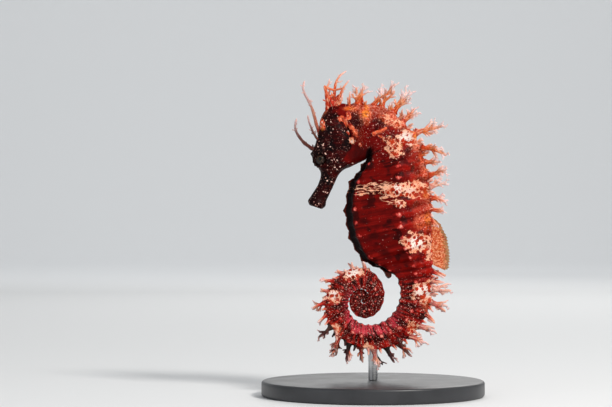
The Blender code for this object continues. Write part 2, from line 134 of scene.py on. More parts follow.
# Raised pale spots on the head, alike on both sides: middle (x, z), radius
HEAD_SPOTS = (
    (-10.1, 59.3, 0.34), (-9.4, 58.8, 0.30), (-8.6, 59.5, 0.26), (-10.9, 58.0, 0.26), (-12.0, 55.9, 0.28),
    (-10.7, 55.6, 0.28), (-10.7, 61.2, 0.20), (-10.1, 61.4, 0.17), (-9.4, 61.2, 0.22), (-11.2, 64.7, 0.20),
    (-9.6, 64.7, 0.22), (-13.0, 65.3, 0.36), (-14.3, 64.7, 0.24), (-6.8, 59.0, 0.36), (-9.1, 55.9, 0.32),
    (-12.4, 62.9, 0.30), (-12.9, 53.1, 0.24), (-12.4, 52.9, 0.24), (-11.9, 52.8, 0.22), (-6.5, 68.7, 0.30),
    (-5.7, 66.0, 0.48), (-4.6, 66.1, 0.36), (-3.5, 65.4, 0.28), (-5.3, 60.4, 0.26), (-13.2, 70.9, 0.34),
    (-13.6, 69.9, 0.36), (-12.6, 69.6, 0.26), (-12.2, 71.6, 0.22), (-11.0, 71.2, 0.18), (-10.4, 69.2, 0.16),
    (-14.1, 50.0, 0.24), (-16.0, 52.0, 0.16), (-15.0, 51.4, 0.15), (-14.4, 53.2, 0.16), (-13.6, 55.0, 0.15),
    (-9.2, 72.5, 0.24), (-10.3, 73.0, 0.16), (-8.4, 65.6, 0.16), (-7.2, 64.2, 0.18), (-10.6, 67.2, 0.14),
)

# Raised lobes and twigs of bright skin on the nape, alike on both sides, and lower mounds:
# middle (x, z), radii, turn in degrees, strength
LOBES = (
    (-7.6, 71.4, 1.9, 0.85, -44, 1.0), (-6.5, 72.6, 0.65, 1.3, 8, 0.8), (-5.6, 69.7, 1.7, 0.80, -50, 0.9),
    (-4.5, 68.0, 1.1, 0.6, -60, 1.0), (-5.6, 66.3, 0.75, 0.8, 20, 1.0), (-3.6, 65.3, 0.6, 0.5, 0, 0.8),
    (-6.6, 68.3, 0.5, 0.35, -40, 0.7), (0.3, 68.0, 0.8, 0.55, 0, 1.0), (1.5, 68.5, 1.3, 0.36, 20, 0.9),
    (2.9, 69.2, 0.9, 0.34, 38, 0.8), (-13.3, 70.7, 0.8, 1.8, 12, 0.85), (1.8, 67.3, 1.0, 0.30, -20, 0.6),
)
MOUNDS = ((-2.0, 72.8, 2.0, 2.0, 0, 1.0), (3.4, 72.6, 1.8, 1.2, -20, 0.8), (8.4, 69.6, 1.7, 1.2, -40, 0.6))

# Low swellings of the head where the brow's threads and the coronet stand: middle (x, |y|, z), radius, rise
SWELLINGS = (
    ((-13.9, 0.8, 68.4), 1.1, 0.55), ((-14.3, 1.4, 66.2), 0.9, 0.45), ((-15.0, 1.6, 63.9), 1.2, 0.65),
    ((-10.4, 0.0, 74.3), 2.6, 0.75),
)

# Fronds on the two upper ridges: ring, length, heading above +X in side view, in degrees
BACK_FRONDS = (
    (-4, 5.0, 84), (-3, 4.4, 62), (-2.5, 6.2, 78), (-1.7, 6.9, 53), (-1, 5.6, 33),
    (0, 8.8, 16), (1, 7.2, 2), (2, 4.4, 5), (3, 6.0, 14), (4, 5.2, 20),
    (5, 4.9, -2), (6, 3.6, -12), (7, 2.4, -25),
)
TAIL_FRONDS = (
    (12, 3.9, -20), (13, 3.2, -8), (14, 5.4, 0), (15, 4.9, -24), (16, 3.4, -36), (17, 4.2, -18),
    (18, 4.2, -28), (19, 4.9, -46), (20, 3.8, -66), (21, 5.0, -72), (22, 3.8, -86), (23, 4.6, -97),
    (24, 5.4, -101), (25, 4.4, -130), (26, 3.2, -140), (27, 3.6, -166), (28, 2.0, 172),
    (29, 3.3, 180), (30, 1.7, 150), (31, 1.7, 122), (32, 2.1, 98),
)
# Degrees that fronds lean away from the middle, and that the two flanks' fronds part in side view
FROND_SPLAY = 20
FROND_SPREAD = 7


def smooth_curve(at, knots, values):
    """Values at the places `at`, on a cubic through every knot whose slope there is its neighbours'."""
    at, knots, values = (np.asarray(a, float) for a in (at, knots, values))
    slopes = np.gradient(values, knots, axis=0)
    i = np.clip(np.searchsorted(knots, at, side="right") - 1, 0, len(knots) - 2)
    span = knots[i + 1] - knots[i]
    u = (at - knots[i]) / span
    wide = (...,) + (None,) * (values.ndim - 1)
    h00, h10 = 2 * u**3 - 3 * u**2 + 1, u**3 - 2 * u**2 + u
    h01, h11 = 3 * u**2 - 2 * u**3, u**3 - u**2
    return (
        h00[wide] * values[i] + (h10 * span)[wide] * slopes[i]
        + h01[wide] * values[i + 1] + (h11 * span)[wide] * slopes[i + 1]
    )


def ramp(at, start, end):
    """0 before start, 1 after end, and smooth between."""
    u = np.clip((at - start) / (end - start), 0, 1)
    return u * u * (3 - 2 * u)


def hill(distance, width, power=2.0):
    """1 at no distance, falling off smoothly over the width."""
    return np.exp(-(np.abs(distance) / width) ** power)


def unit(vectors):
    """The vectors, each divided by its length."""
    return vectors / np.maximum(np.linalg.norm(vectors, axis=-1, keepdims=True), 1e-12)


# How a lattice's point picks its number from a table
HASH_PRIMES = (73856093, 19349663, 83492791)
HASH_SIZE = 4096


def lattice_noise(points, seed):
    """Smooth noise from -1 to 1: random values on a lattice of whole numbers, blended between its corners."""
    table = np.random.default_rng(seed).uniform(-1, 1, HASH_SIZE)
    cell = np.floor(points).astype(np.int64)
    u = points - cell
    u = u * u * (3 - 2 * u)
    total = 0.0
    for corner in np.ndindex(2, 2, 2):
        index = np.bitwise_xor.reduce((cell + corner) * HASH_PRIMES, axis=-1) % HASH_SIZE
        weight = np.prod(np.where(np.array(corner) == 1, u, 1 - u), axis=-1)
        total = total + weight * table[index]
    return total


def coil_knots():
    """Rows like OUTLINE's for the coiled tail: radius and depth follow the quarter-turn tables."""
    rings = np.arange(COIL_START, TIP + 1)
    along = (rings - COIL_START) / COIL_RINGS
    steady, closing, last = COIL_SWEEP
    angle = COIL_FIRST_ANGLE + steady * along + closing * along**2 + last * along**6
    quarters = np.arange(len(COIL_RADIUS))
    radius = smooth_curve(angle * 2 / math.pi, quarters, COIL_RADIUS)
    depth = smooth_curve(angle * 2 / math.pi, quarters, COIL_HALF_DEPTH)
    ray = np.stack([np.cos(angle), -np.sin(angle)], axis=1)
    back = COIL_CENTRE + ray * (radius + depth)[:, None]
    belly = COIL_CENTRE + ray * (radius - depth)[:, None]
    return rings, back, belly, depth * COIL_WIDTH_TO_DEPTH


def body_knots():
    """(rings, back points, belly points, half widths) from the mouth to the tip of the tail."""
    columns = [[row[k] for row in OUTLINE] for k in range(4)]
    return [np.concatenate([np.array(a, float), b]) for a, b in zip(columns, coil_knots())]


KNOTS = body_knots()


def outline(rings):
    """Back and belly points in side view, and the half width, at the rings."""
    return [smooth_curve(rings, KNOTS[0], values) for values in KNOTS[1:]]


def armour_at(rings):
    """How far the section is flat-sided: 0 on the head, 1 from the shoulder on."""
    return ramp(rings, -4, 1.5)


def frond_step(rings):
    """The step that the fronds stand on: the upper ridge, which is lower down on the round neck."""
    return 3.6 - 0.6 * armour_at(rings)


def half_step(steps):
    """Steps folded onto one flank: 0 at the belly's midline, 4 at the back's."""
    return np.abs((steps + 4) % 8 - 4)


def sections(rings, steps):
    """(height, width) on the grid of rings and steps. Each kind of section is given by its corners. The
    head runs smoothly through them, the trunk and tail run straight between them with rounded ridges."""
    steps = half_step(steps)
    armour, tail = armour_at(rings)[:, None, None], ramp(rings, 10.5, 13)[:, None, None]
    shares = ((1 - armour) * (1 - tail), armour * (1 - tail), tail)
    shifts = np.linspace(-1, 1, 7) * CORNER_ROUNDING
    curved, flat = 0.0, 0.0
    for share, corners in zip(shares, (ROUND_SECTION, TRUNK_SECTION, TAIL_SECTION)):
        corners = np.array(corners)
        mirrored = np.concatenate([corners[:0:-1] * (1, -1), corners, corners[-2::-1] * (1, -1)])
        curved = curved + share * smooth_curve(steps, np.arange(-4, 9), mirrored)
        around = 0.0
        for shift in shifts:
            at = steps + shift
            sign = np.where((at < 0) | (at > 4), -1, 1)
            line = [np.interp(half_step(at), range(5), corners[:, k]) for k in (0, 1)]
            around = around + np.stack([line[0], line[1] * sign], axis=1) / len(shifts)
        flat = flat + share * around
    return curved + (flat - curved) * armour


def plain_body(rings, steps):
    """Points on the body without relief, as an array of rings x steps x 3. Each ring's section is stretched
    between its back and its belly point in side view and its half width from side to side."""
    back, belly, width = outline(rings)
    middle, up = (back + belly) / 2, (back - belly) / 2
    depth = np.linalg.norm(up, axis=1)
    shape = sections(rings, steps)
    side = np.where(steps % 8 <= 4, -1.0, 1.0)
    inset = SKIN_DEPTH * (1 - ramp(rings, *COIL_INNER))
    height = shape[:, :, 0] * (depth - inset)[:, None]
    aside = shape[:, :, 1] * (width - inset)[:, None] * side
    seen = middle[:, None] + height[:, :, None] * (up / depth[:, None])[:, None]
    return np.stack([seen[..., 0], aside, seen[..., 1]], axis=-1)


def grid_normals(points):
    """Outward normals of a grid that is closed round its second side, from its neighbours' differences."""
    along = np.gradient(points, axis=0)
    around = np.roll(points, -1, axis=1) - np.roll(points, 1, axis=1)
    return unit(np.cross(along, around))


def ring_relief(rings, steps):
    """Height of the armour: a crest across each ring's middle, a groove between rings, faces hollowed
    between the ridges, and a knob where a crest crosses a ridge."""
    half = half_step(steps)[None, :]
    off = (rings - np.round(rings))[:, None]
    armour = ramp(rings, -4.5, 0)[:, None]
    size = np.clip(outline(rings)[2] / 5, 0.12, 1)[:, None]
    midline = (1 - 0.6 * hill(half - 4, 0.5)) * (1 - 0.4 * hill(half - 1.6, 0.5))
    crest = RING_CREST * hill(off, 0.15) - RING_GROOVE * hill(np.abs(off) - 0.5, 0.07)
    hollow = np.sin(math.pi * half) ** 2 * (1 - 0.45 * hill(off, 0.2))
    height = armour * size * (crest * midline - FACET_HOLLOW * hollow * armour_at(rings)[:, None])
    whole = np.round(rings)[:, None]
    for step, rise, first, last, even in KNOBS:
        worn = (whole >= first) & (whole <= last)
        share = np.where(whole % 2 == 0, even, 1.0) * np.sqrt(size)
        across = 0.14 + 0.12 * ramp(rings, 10, 13)[:, None]
        spread = np.sqrt((off / 0.27) ** 2 + ((half - step) / across) ** 2)
        height = height + worn * share * rise * hill(spread, 1.0, 1.4)
    for table, rise in zip((BACK_FRONDS, TAIL_FRONDS), CONE_RISE):
        for ring, length, _ in table:
            spread = np.sqrt(((rings[:, None] - ring) / 0.34) ** 2 + ((half - frond_step(ring)) / 0.38) ** 2)
            height = height + rise * length * hill(spread, 1.0, 1.3)
    return height


def gill_distance(x, z):
    """How far a place is from the middle of the gill cover in side view: 1 at the cover's rim."""
    return np.hypot((x - GILL_CENTRE[0]) / GILL_RADII[0], (z - GILL_CENTRE[1]) / GILL_RADII[1])


def gill_rear(x, y, rings):
    """1 on the rear of the head's flanks, where the gill cover ends, and 0 on the snout and the trunk."""
    return ramp(x, -12.8, -9.5) * ramp(np.abs(y), 0.3, 1.8) * (1 - ramp(rings, -1.5, 0))


def head_relief(points, rings, steps):
    """Height of the head's forms: the orbit round each eye with a dip under the eyeball, the domed gill
    cover with the slit behind it, the ridges of brow and cheek, the crest on the nape, a small spine on the
    nose, the snout's flared rim, the fold under the throat, and the lobes, mounds, spots and swellings."""
    x, y, z = np.moveaxis(points, -1, 0)
    half, at = half_step(steps)[None, :], rings[:, None]
    aside, above = x - EYE_AXIS[0], z - EYE_AXIS[1]
    from_eye = np.hypot(aside, above)
    beads = 1 + 0.20 * np.cos(13 * np.arctan2(above, aside)) * ramp(from_eye, 1.3, 1.7)
    orbit = 0.62 * hill(from_eye - 1.62, 0.30) * beads + 0.26 * hill(from_eye - 2.4, 0.8)
    orbit = orbit - 0.9 * (1 - ramp(from_eye, 0.8, 1.4))
    orbit = orbit * ramp(np.abs(y), 0.5, 1.6) * (1 - ramp(at, NAPE, NAPE + 1.5))
    gill = gill_distance(x, z)
    open_slit = 0.25 + 0.75 * ramp(z, *SLIT_HEIGHTS)
    groove = (0.62 * hill(gill - SLIT_AT, 0.055) - 0.12 * hill(gill - 0.97, 0.04)) * open_slit
    cover = (0.62 * (1 - ramp(gill, 0.55, 1.03)) - groove) * gill_rear(x, y, at)
    brow = 0.34 * hill(half - 2.95, 0.26) * ramp(at, -11.2, -10) * (1 - ramp(at, -7, -5.6))
    cheek = 0.26 * hill(half - 1.0, 0.3) * ramp(at, -12.5, -11) * (1 - ramp(at, -8.5, -6.5))
    scallop = 0.72 + 0.28 * np.cos(at * 2 * math.pi)
    crest = 0.75 * hill(half - 4, 0.20) * ramp(at, -5.6, -4.8) * (1 - ramp(at, -0.5, 1)) * scallop
    nose = 0.55 * hill(np.hypot(x + 15.6, z - 62.9), 0.55) * hill(half - 4, 0.5)
    snout = 0.42 * hill(at + 17.55, 0.50) - 0.10 * hill(at + 16.6, 0.7)
    throat = 0.52 * hill(half, 0.9) * ramp(at, -7.5, -5.5) * (1 - ramp(at, 0.2, 1.8))
    rough = ragged_edge(points)
    lobes = 0.50 * patches(x, z, LOBES, rough) * ramp(np.abs(y), 0.6, 1.6)
    lobes = lobes * (1 + 0.5 * lattice_noise(points / 0.5, 43))
    mounds = 0.55 * patches(x, z, MOUNDS, rough) * ramp(np.abs(y), 0.2, 1.2)
    lumps = 0.12 * spots_at(points) * ramp(np.abs(y), 0.3, 0.9)
    for middle, radius, rise in SWELLINGS:
        far = np.linalg.norm(np.stack([x, np.abs(y), z], axis=-1) - middle, axis=-1)
        lumps = lumps + rise * hill(far, radius, 2.5) * (1 - ramp(at, NAPE - 1, NAPE + 1))
    return orbit + cover + brow + cheek + crest + nose + snout + throat + lobes + mounds + lumps


def ragged_edge(points):
    """How far the edges of the lobes are moved, from place to place."""
    return 0.50 * lattice_noise(points / 0.8, 41) + 0.45 * lattice_noise(points / 0.35, 44)


def spots_at(points):
    """1 at the middle of each of the head's spots, falling to 0 at its ragged edge."""
    x, z = points[..., 0], points[..., 2]
    ragged = 1 + 0.75 * lattice_noise(points / 0.28, 42)
    best = np.zeros_like(x)
    for middle_x, middle_z, radius in HEAD_SPOTS:
        far = np.hypot(x - middle_x, z - middle_z) / radius * ragged
        best = np.maximum(best, 1 - ramp(far, 0.25, 0.95))
    return best


def skin_rings():
    """The rings of the skin's rows, evenly spaced along each stretch of SKIN_ROWS."""
    spans = [np.linspace(first, last, count, endpoint=False) for first, last, count in SKIN_ROWS]
    return np.concatenate([*spans, [TIP]])


def skin_surface():
    """The whole skin as rows x points round x 3, with its rows' rings and its columns' steps. The plain
    body is pushed out along its own normals by the relief and by two sizes of noise."""
    rings = skin_rings()
    steps = np.arange(SKIN_ROUND) * 8 / SKIN_ROUND
    points = plain_body(rings, steps)
    normals = grid_normals(points)
    height = ring_relief(rings, steps) + head_relief(points, rings, steps)
    size = np.clip(outline(rings)[2] / 4, 0.1, 1)[:, None]
    height = height + size * 0.07 * lattice_noise(points / 1.3, 1)
    height = height + size * 0.045 * lattice_noise(points / 0.55, 2)
    return rings, steps, points + normals * height[..., None]


# ----------------------------------------------------------------------------------------- mesh building


def grid_faces(rows, columns):
    """Corner numbers of the quads of a grid that closes round its second side, and the corners' (row, column)
    places with no wrapping."""
    i, j = (side.ravel() for side in np.meshgrid(np.arange(rows - 1), np.arange(columns), indexing="ij"))
    places = np.stack([np.stack([i + a, j + b], axis=1) for a, b in ((0, 0), (1, 0), (1, 1), (0, 1))], axis=1)
    return places[..., 0] * columns + places[..., 1] % columns, places


def make_piece(name, points, faces, uvs, material, slot=None, marks=None, sharp=None):
    """A mesh piece from points in mm. faces and uvs have an array for each size of face, with a (u, v) for
    each corner. marks are the numbers kept at the points, which the material reads. Only a piece of the
    model has a slot."""
    mesh = bpy.data.meshes.new(name)
    loops = np.concatenate([face.ravel() for face in faces])
    totals = np.concatenate([np.full(len(face), face.shape[1]) for face in faces])
    mesh.vertices.add(len(points))
    mesh.vertices.foreach_set("co", (points * MM).ravel())
    mesh.loops.add(len(loops))
    mesh.loops.foreach_set("vertex_index", loops.astype(np.int32))
    mesh.polygons.add(len(totals))
    mesh.polygons.foreach_set("loop_start", (np.cumsum(totals) - totals).astype(np.int32))
    mesh.polygons.foreach_set("loop_total", totals.astype(np.int32))
    mesh.update(calc_edges=True)
    corners = np.concatenate([uv.reshape(-1, 2) for uv in uvs])
    mesh.uv_layers.new(name="OFBake").uv.foreach_set("vector", corners.astype(np.float32).ravel())
    for key, values in (marks or {}).items():
        mesh.attributes.new(key, "FLOAT", "POINT").data.foreach_set("value", values.astype(np.float32))
    mesh.shade_smooth()
    if sharp is not None:
        mesh.set_sharp_from_angle(angle=math.radians(sharp))
    mesh.validate()
    mesh.materials.append(material)
    piece = bpy.data.objects.new(name, mesh)
    bpy.context.scene.collection.objects.link(piece)
    if slot is not None:
        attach(piece, "root")
    return piece


def capped_faces(rows, around):
    """Faces of a closed grid whose two ends close in a fan round a point at their middle, and their places in
    a map that lays the rows along u and the way round along v, both from 0 to 1. The two middle points are
    numbered after the grid's own."""
    quads, places = grid_faces(rows, around)
    j = np.arange(around)
    after = (j + 1) % around
    first, last = rows * around, rows * around + 1
    start = np.stack([np.full(around, first), j, after], axis=1)
    finish = np.stack([(rows - 1) * around + after, (rows - 1) * around + j, np.full(around, last)], axis=1)
    start_at = [[0 * j, j + 0.5], [0 * j + 1, j], [0 * j + 1, j + 1]]
    finish_at = [[0 * j + rows, j + 1], [0 * j + rows, j], [0 * j + rows + 1, j + 0.5]]
    fans = np.concatenate([np.array(at, float).transpose(2, 0, 1) for at in (start_at, finish_at)])
    size = (rows + 1, around)
    return (quads, np.concatenate([start, finish])), ((places + (1, 0)) / size, fans / size)


def make_closed_piece(name, nodes, grid, material, slot, marks=None, reach=(0, 0, 0), sharp=None):
    """A piece from a grid of points, rows x round x 3, closed at both ends, in place of the CAD's nodes. The
    middle of the last end lies `reach` beyond its row's own. A mark is a grid of numbers, or one for all."""
    rows, around = grid.shape[:2]
    points = np.concatenate([grid.reshape(-1, 3), [grid[0].mean(axis=0), grid[-1].mean(axis=0) + reach]])
    kept = {}
    for key, values in (marks or {}).items():
        values = np.broadcast_to(values, (rows, around))
        kept[key] = np.concatenate([values.ravel(), [values[0].mean(), values[-1].mean()]])
    piece = make_piece(name, points, *capped_faces(rows, around), material, slot, kept, sharp)
    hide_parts(*nodes)


# --------------------------------------------------------------------------------------------- markings

# Patches in side view, alike on both flanks: middle (x, z), radii, turn in degrees, strength
LACE = (
    (8.4, 66.9, 2.7, 2.3, -30, 1.0), (5.4, 64.4, 2.2, 2.4, 20, 0.75), (3.2, 66.6, 1.6, 0.8, 30, 0.5),
    (5.8, 53.3, 3.2, 1.9, 0, 0.8), (10.6, 53.6, 4.6, 2.4, 8, 0.95),
    (6.9, 49.9, 1.9, 1.3, 0, 0.75), (11.6, 39.8, 4.0, 2.8, -10, 1.0),
    (14.6, 38.6, 2.4, 3.2, 0, 0.75), (13.4, 27.0, 3.8, 2.4, 10, 1.0), (10.2, 17.8, 2.0, 1.8, -40, 0.7),
    (-1.0, 12.9, 1.5, 1.3, 0, 0.75), (-9.8, 17.6, 1.4, 1.3, 40, 0.7), (-10.0, 25.8, 1.7, 1.8, 0, 0.9),
    (-5.0, 31.7, 2.7, 1.7, 15, 1.0), (4.6, 71.4, 3.4, 1.5, -22, 0.42), (-14.8, 69.6, 1.1, 2.4, 10, 0.6),
    (-5.4, 66.2, 0.9, 1.0, 0, 0.5),
)
STREAKS = ((-1.4, 53.9, 6.2, 1.5, 4, 0.80), (4.4, 51.0, 2.6, 1.3, 0, 0.55), (5.0, 54.6, 3.0, 0.8, 10, 0.55))
CORES = (
    (8.6, 66.8, 2.1, 1.8, -30, 1.0), (11.0, 39.9, 2.3, 1.7, -10, 1.0), (6.7, 49.8, 0.8, 0.9, 0, 0.6),
    (9.6, 53.4, 1.6, 0.8, 0, 0.5), (-5.3, 32.0, 1.9, 1.2, 15, 1.0), (13.2, 27.2, 2.6, 1.7, 10, 1.0),
    (-10.2, 26.3, 1.2, 1.2, 0, 1.0), (6.2, 53.8, 1.0, 1.4, 0, 0.9),
)
WARM = (
    (-1.9, 73.2, 2.0, 2.3, 0, 1.0), (-5.6, 74.6, 2.6, 0.8, 0, 0.9), (5.5, 71.6, 3.6, 1.9, -22, 0.9),
    (10.6, 66.8, 1.9, 3.6, 25, 0.9),
    (1.9, 68.7, 1.7, 0.5, 24, 0.9), (5.0, 66.0, 1.3, 0.9, 0, 0.6), (13.2, 60.0, 1.3, 4.6, 12, 0.8),
    (14.6, 50.0, 1.1, 7.0, 0, 0.6), (12.6, 45.2, 2.4, 2.4, 0, 0.8), (12.2, 50.0, 2.2, 12.0, 6, 0.14),
    (-9.7, 17.5, 1.6, 1.6, 0, 0.9), (-10.2, 26.0, 1.4, 1.6, 0, 0.5),
    (14.0, 25.0, 1.6, 3.6, 20, 0.6), (-12.9, 73.6, 1.6, 0.7, 45, 0.6), (-14.6, 70.0, 0.7, 1.8, 10, 0.7),
)
# Darker patches: partly painted shade, on the cheek and throat under the head and faintly over the whole
# head, and partly the skin's own dark blotches on the trunk.
GLOOM = (
    (-3.6, 62.4, 3.4, 3.2, 0, 0.75), (-12.5, 66.0, 5.0, 8.0, 0, 0.3), (-2.6, 45.5, 1.8, 1.0, 0, 0.8),
    (0.2, 41.6, 1.7, 1.0, 0, 0.8), (2.9, 37.5, 1.5, 0.9, 0, 0.8), (-3.4, 56.6, 1.2, 1.0, 0, 0.5),
    (-4.6, 71.6, 1.7, 2.4, 10, 0.85), (2.0, 70.6, 3.0, 1.0, -10, 0.6), (8.0, 62.8, 2.0, 1.4, 0, 0.6),
)
GOLD = (
    (-2.0, 73.1, 1.1, 1.1, 0, 1.0), (-1.7, 75.0, 0.6, 0.7, 0, 0.8), (11.2, 67.6, 1.2, 1.8, 30, 0.9),
    (-6.0, 74.6, 1.6, 0.5, 0, 0.35), (-5.6, 66.3, 0.5, 0.5, 0, 0.8), (6.9, 65.0, 0.9, 0.6, 30, 0.6),
    (14.4, 46.0, 1.2, 1.6, 0, 0.45), (-13.1, 69.3, 0.5, 0.7, 0, 0.5), (13.4, 52.6, 0.9, 1.4, 0, 0.4),
)
SHADE = ((-1.0, 62.6, 0.9, 2.2, 0, 1.0), (-1.5, 60.0, 1.6, 1.3, 0, 0.7))
PINK = ((0.0, 17.2, 5.2, 1.5, 0, 0.9), (-5.4, 20.0, 1.5, 2.6, 30, 0.8), (5.4, 19.2, 2.0, 1.6, 40, 0.6))


def patches(x, z, table, warp):
    """The strongest of a table's patches at each place, from 0 to 1: each an ellipse with its edge moved
    by the warp."""
    best = np.zeros_like(x)
    for middle_x, middle_z, radius_x, radius_z, turn, strength in table:
        c, s = math.cos(math.radians(turn)), math.sin(math.radians(turn))
        dx, dz = x - middle_x, z - middle_z
        far = np.hypot((dx * c + dz * s) / radius_x, (dz * c - dx * s) / radius_z) + warp
        best = np.maximum(best, strength * (1 - ramp(far, 0.55, 1.25)))
    return best


# The ridges with pale knobs, by step from the belly, and how pale their knobs are.
KNOB_SHARES = ((1, 0.78), (2, 1.0), (3, 0.8))


def patch_warp(points):
    """How far the edges of the skin's patches are moved, from place to place."""
    return 0.30 * lattice_noise(points / 1.6, 11) + 0.14 * lattice_noise(points / 0.6, 12)


def markings(points, rings, half):
    """The masks that colour the skin, by place, ring, and steps from the belly up either flank."""
    x, y, z = np.moveaxis(points, -1, 0)
    warp = patch_warp(points)
    off = np.abs(rings - np.round(rings))
    armour, tail, spotted = armour_at(rings), ramp(rings, 10.5, 14), ramp(rings, 11.4, 14.4)
    gill = gill_distance(x, z)
    face = np.maximum(1 - ramp(gill, 0.98, 1.06), 1 - ramp(rings, -10.2, -8.8))
    crown = (1 - ramp(x, -9.2, -7.4)) * (1 - ramp(rings, -6.4, -5.2))
    head = np.maximum(face, crown)
    keel = armour * (1 - ramp(rings, 11, 12.5))
    # Painted shade along the belly's underside, between its midline and the lower ridges.
    belly_shade = keel * (1 - ramp(half + 0.25 * warp, 0.80, 0.98)) * ramp(half, 0.05, 0.2)
    lobes = patches(x, z, LOBES, ragged_edge(points))
    # Painted shadow in the gill slit behind the cover, kept off the lobes that lie over it.
    slit = gill_rear(x, y, rings) * hill(gill - SLIT_AT, 0.07) * ramp(z, *SLIT_HEIGHTS)
    slit = slit * (1 - ramp(lobes, 0.1, 0.4))
    neck = ramp(rings, -6, -4) * (1 - ramp(rings, 0, 2))
    rear_half = ramp(half, 1.9, 2.6)
    trunk = armour * (1 - spotted) * (0.014 + 0.14 * rear_half + 0.08 * hill(off, 0.05) * (1 - rear_half))
    inner = tail * (1 - ramp(half, 0.7, 1.7)) * ramp(rings, 15, 18) * (1 - ramp(rings, 29, 32))
    ridges = [share * hill(half - step, 0.085 + 0.09 * tail) for step, share in KNOB_SHARES]
    knobs = np.maximum.reduce(ridges) * ramp(rings, -3, 1) * hill(off, 0.26) * (1 - 0.4 * head)
    flank = 0.42 * hill(half - 2, 0.07) * ramp(rings, 0, 1.5) * (1 - ramp(rings, 11, 13))
    around = [hill(np.hypot((rings - ring) / 0.40, (half - 3.7) / 0.8), 1.0) for ring, _, _ in BACK_FRONDS]
    spots = spots_at(points) * ramp(np.abs(y), 0.3, 0.9) * ramp(half, 0.3, 0.7) * (1 - ramp(half, 3.5, 3.8))
    # Painted shade in the grooves between rings, on the neck, trunk and tail.
    groove = hill(off - 0.5, 0.14) * (0.38 * armour + 0.5 * tail)
    return {
        "head": head,
        "shade": np.maximum.reduce([belly_shade, slit, patches(x, z, SHADE, 0.5 * warp)]),
        "lace": patches(x, z, LACE, warp) * (1 - 0.75 * belly_shade),
        "core": patches(x, z, CORES, 0.7 * warp),
        "streak": patches(x, z, STREAKS, 0.8 * warp) * (1 - 0.9 * belly_shade),
        "spots": spots,
        # Painted shade in the ring grooves and under the head, with the skin's own dark blotches.
        "fold": np.maximum(groove, patches(x, z, GLOOM, 0.6 * warp)),
        "warm": patches(x, z, WARM, warp),
        "pink": np.maximum(patches(x, z, PINK, warp), 0.6 * inner),
        "specks": 0.20 * head + 0.28 * neck + trunk + 0.55 * spotted,
        "knobs": np.maximum(knobs, flank),
        "keel": keel * hill(half, 0.09) * (0.4 + 0.6 * hill(off, 0.3)),
        "coil": ramp(rings, 31, 37),
        "rear": rear_half * armour,
        "lobes": lobes,
        "ring": rings,
        "half": half,
        "stripes": np.maximum(0.95 * tail, 0.28 * armour),
        "gold": patches(x, z, GOLD, warp),
        "bloom": np.maximum.reduce(around) * ramp(half, 2.2, 3.0),
    }


# -------------------------------------------------------------------------------------------- materials


class Nodes:
    """A shader's tree. Each method places nodes in it, and gives what they put out. What goes in is a number,
    a colour, or what another node puts out."""

    def __init__(self, tree):
        self.tree = tree

    def fill(self, node, inputs):
        """Sets a node's inputs, or joins them, and gives the node's outputs."""
        for key, value in inputs.items():
            if isinstance(value, bpy.types.NodeSocket):
                self.tree.links.new(value, node.inputs[key])
            elif node.inputs[key].type == "RGBA":
                node.inputs[key].default_value = (*value, 1.0)
            else:
                node.inputs[key].default_value = value
        return node.outputs

    def add(self, kind, inputs=None, **settings):
        """The outputs of a new node."""
        node = self.tree.nodes.new("ShaderNode" + kind)
        for key, value in settings.items():
            setattr(node, key, value)
        return self.fill(node, inputs or {})

    def maths(self, operation, *values):
        """What an operation makes of the numbers."""
        return self.add("Math", dict(enumerate(values)), operation=operation)[0]

    def times(self, *values):
        """The product of the numbers."""
        product = values[0]
        for value in values[1:]:
            product = self.maths("MULTIPLY", product, value)
        return product

    def times_plus(self, value, factor, plus):
        """A number times a factor, plus another."""
        return self.maths("MULTIPLY_ADD", value, factor, plus)

    def frayed(self, value, grain, amount):
        """A number moved up and down by a noise, whose middle is 0.5."""
        return self.maths("ADD", value, self.times_plus(grain, amount, -amount / 2))

    def scaled(self, vector, factors):
        """A vector with each of its three numbers times a factor."""
        return self.add("VectorMath", {0: vector, 1: factors}, operation="MULTIPLY")[0]

    def scaled_plus(self, vector, factor, plus):
        """A vector times a number, plus another vector."""
        inputs = {0: vector, 1: (factor, factor, factor), 2: plus}
        return self.add("VectorMath", inputs, operation="MULTIPLY_ADD")[0]

    def swayed(self, place, scale, amount):
        """Places moved about by a soft noise."""
        sway = self.add("TexNoise", {"Vector": place, "Scale": scale, "Detail": 2.0})["Color"]
        return self.scaled_plus(sway, amount, place)

    def mixed(self, factor, first, second):
        """The first colour where the factor is 0, the second where it is 1, and mixes between."""
        return self.add("Mix", {0: factor, 6: first, 7: second}, data_type="RGBA")[2]

    def coated(self, colour, *coats):
        """A colour under coats of others. A coat is its colour and shares, whose product is its thickness."""
        for upper, *shares in coats:
            colour = self.mixed(self.times(*shares), colour, upper)
        return colour

    def between(self, value, low, high, start=0.0, end=1.0):
        """A number mapped smoothly from low..high to start..end, and held outside them."""
        inputs = {0: value, 1: low, 2: high, 3: start, 4: end}
        return self.add("MapRange", inputs, interpolation_type="SMOOTHSTEP")[0]

    def noise(self, vector, scale, detail=3.0, roughness=0.5):
        """Noise about 0.5, mostly from 0.3 to 0.7."""
        inputs = {"Vector": vector, "Scale": scale, "Detail": detail, "Roughness": roughness}
        return self.add("TexNoise", inputs)["Fac"]

    def mark(self, name):
        """A number kept at the piece's points."""
        return self.add("Attribute", attribute_name=name)["Fac"]

    def place(self):
        """The place on the piece, in millimetres."""
        return self.scaled(self.add("TexCoord")["Object"], (1 / MM, 1 / MM, 1 / MM))

    def group(self, tree, **inputs):
        """What a shader group that is placed here puts out."""
        node = self.tree.nodes.new("ShaderNodeGroup")
        node.node_tree = tree
        return self.fill(node, inputs)[0]


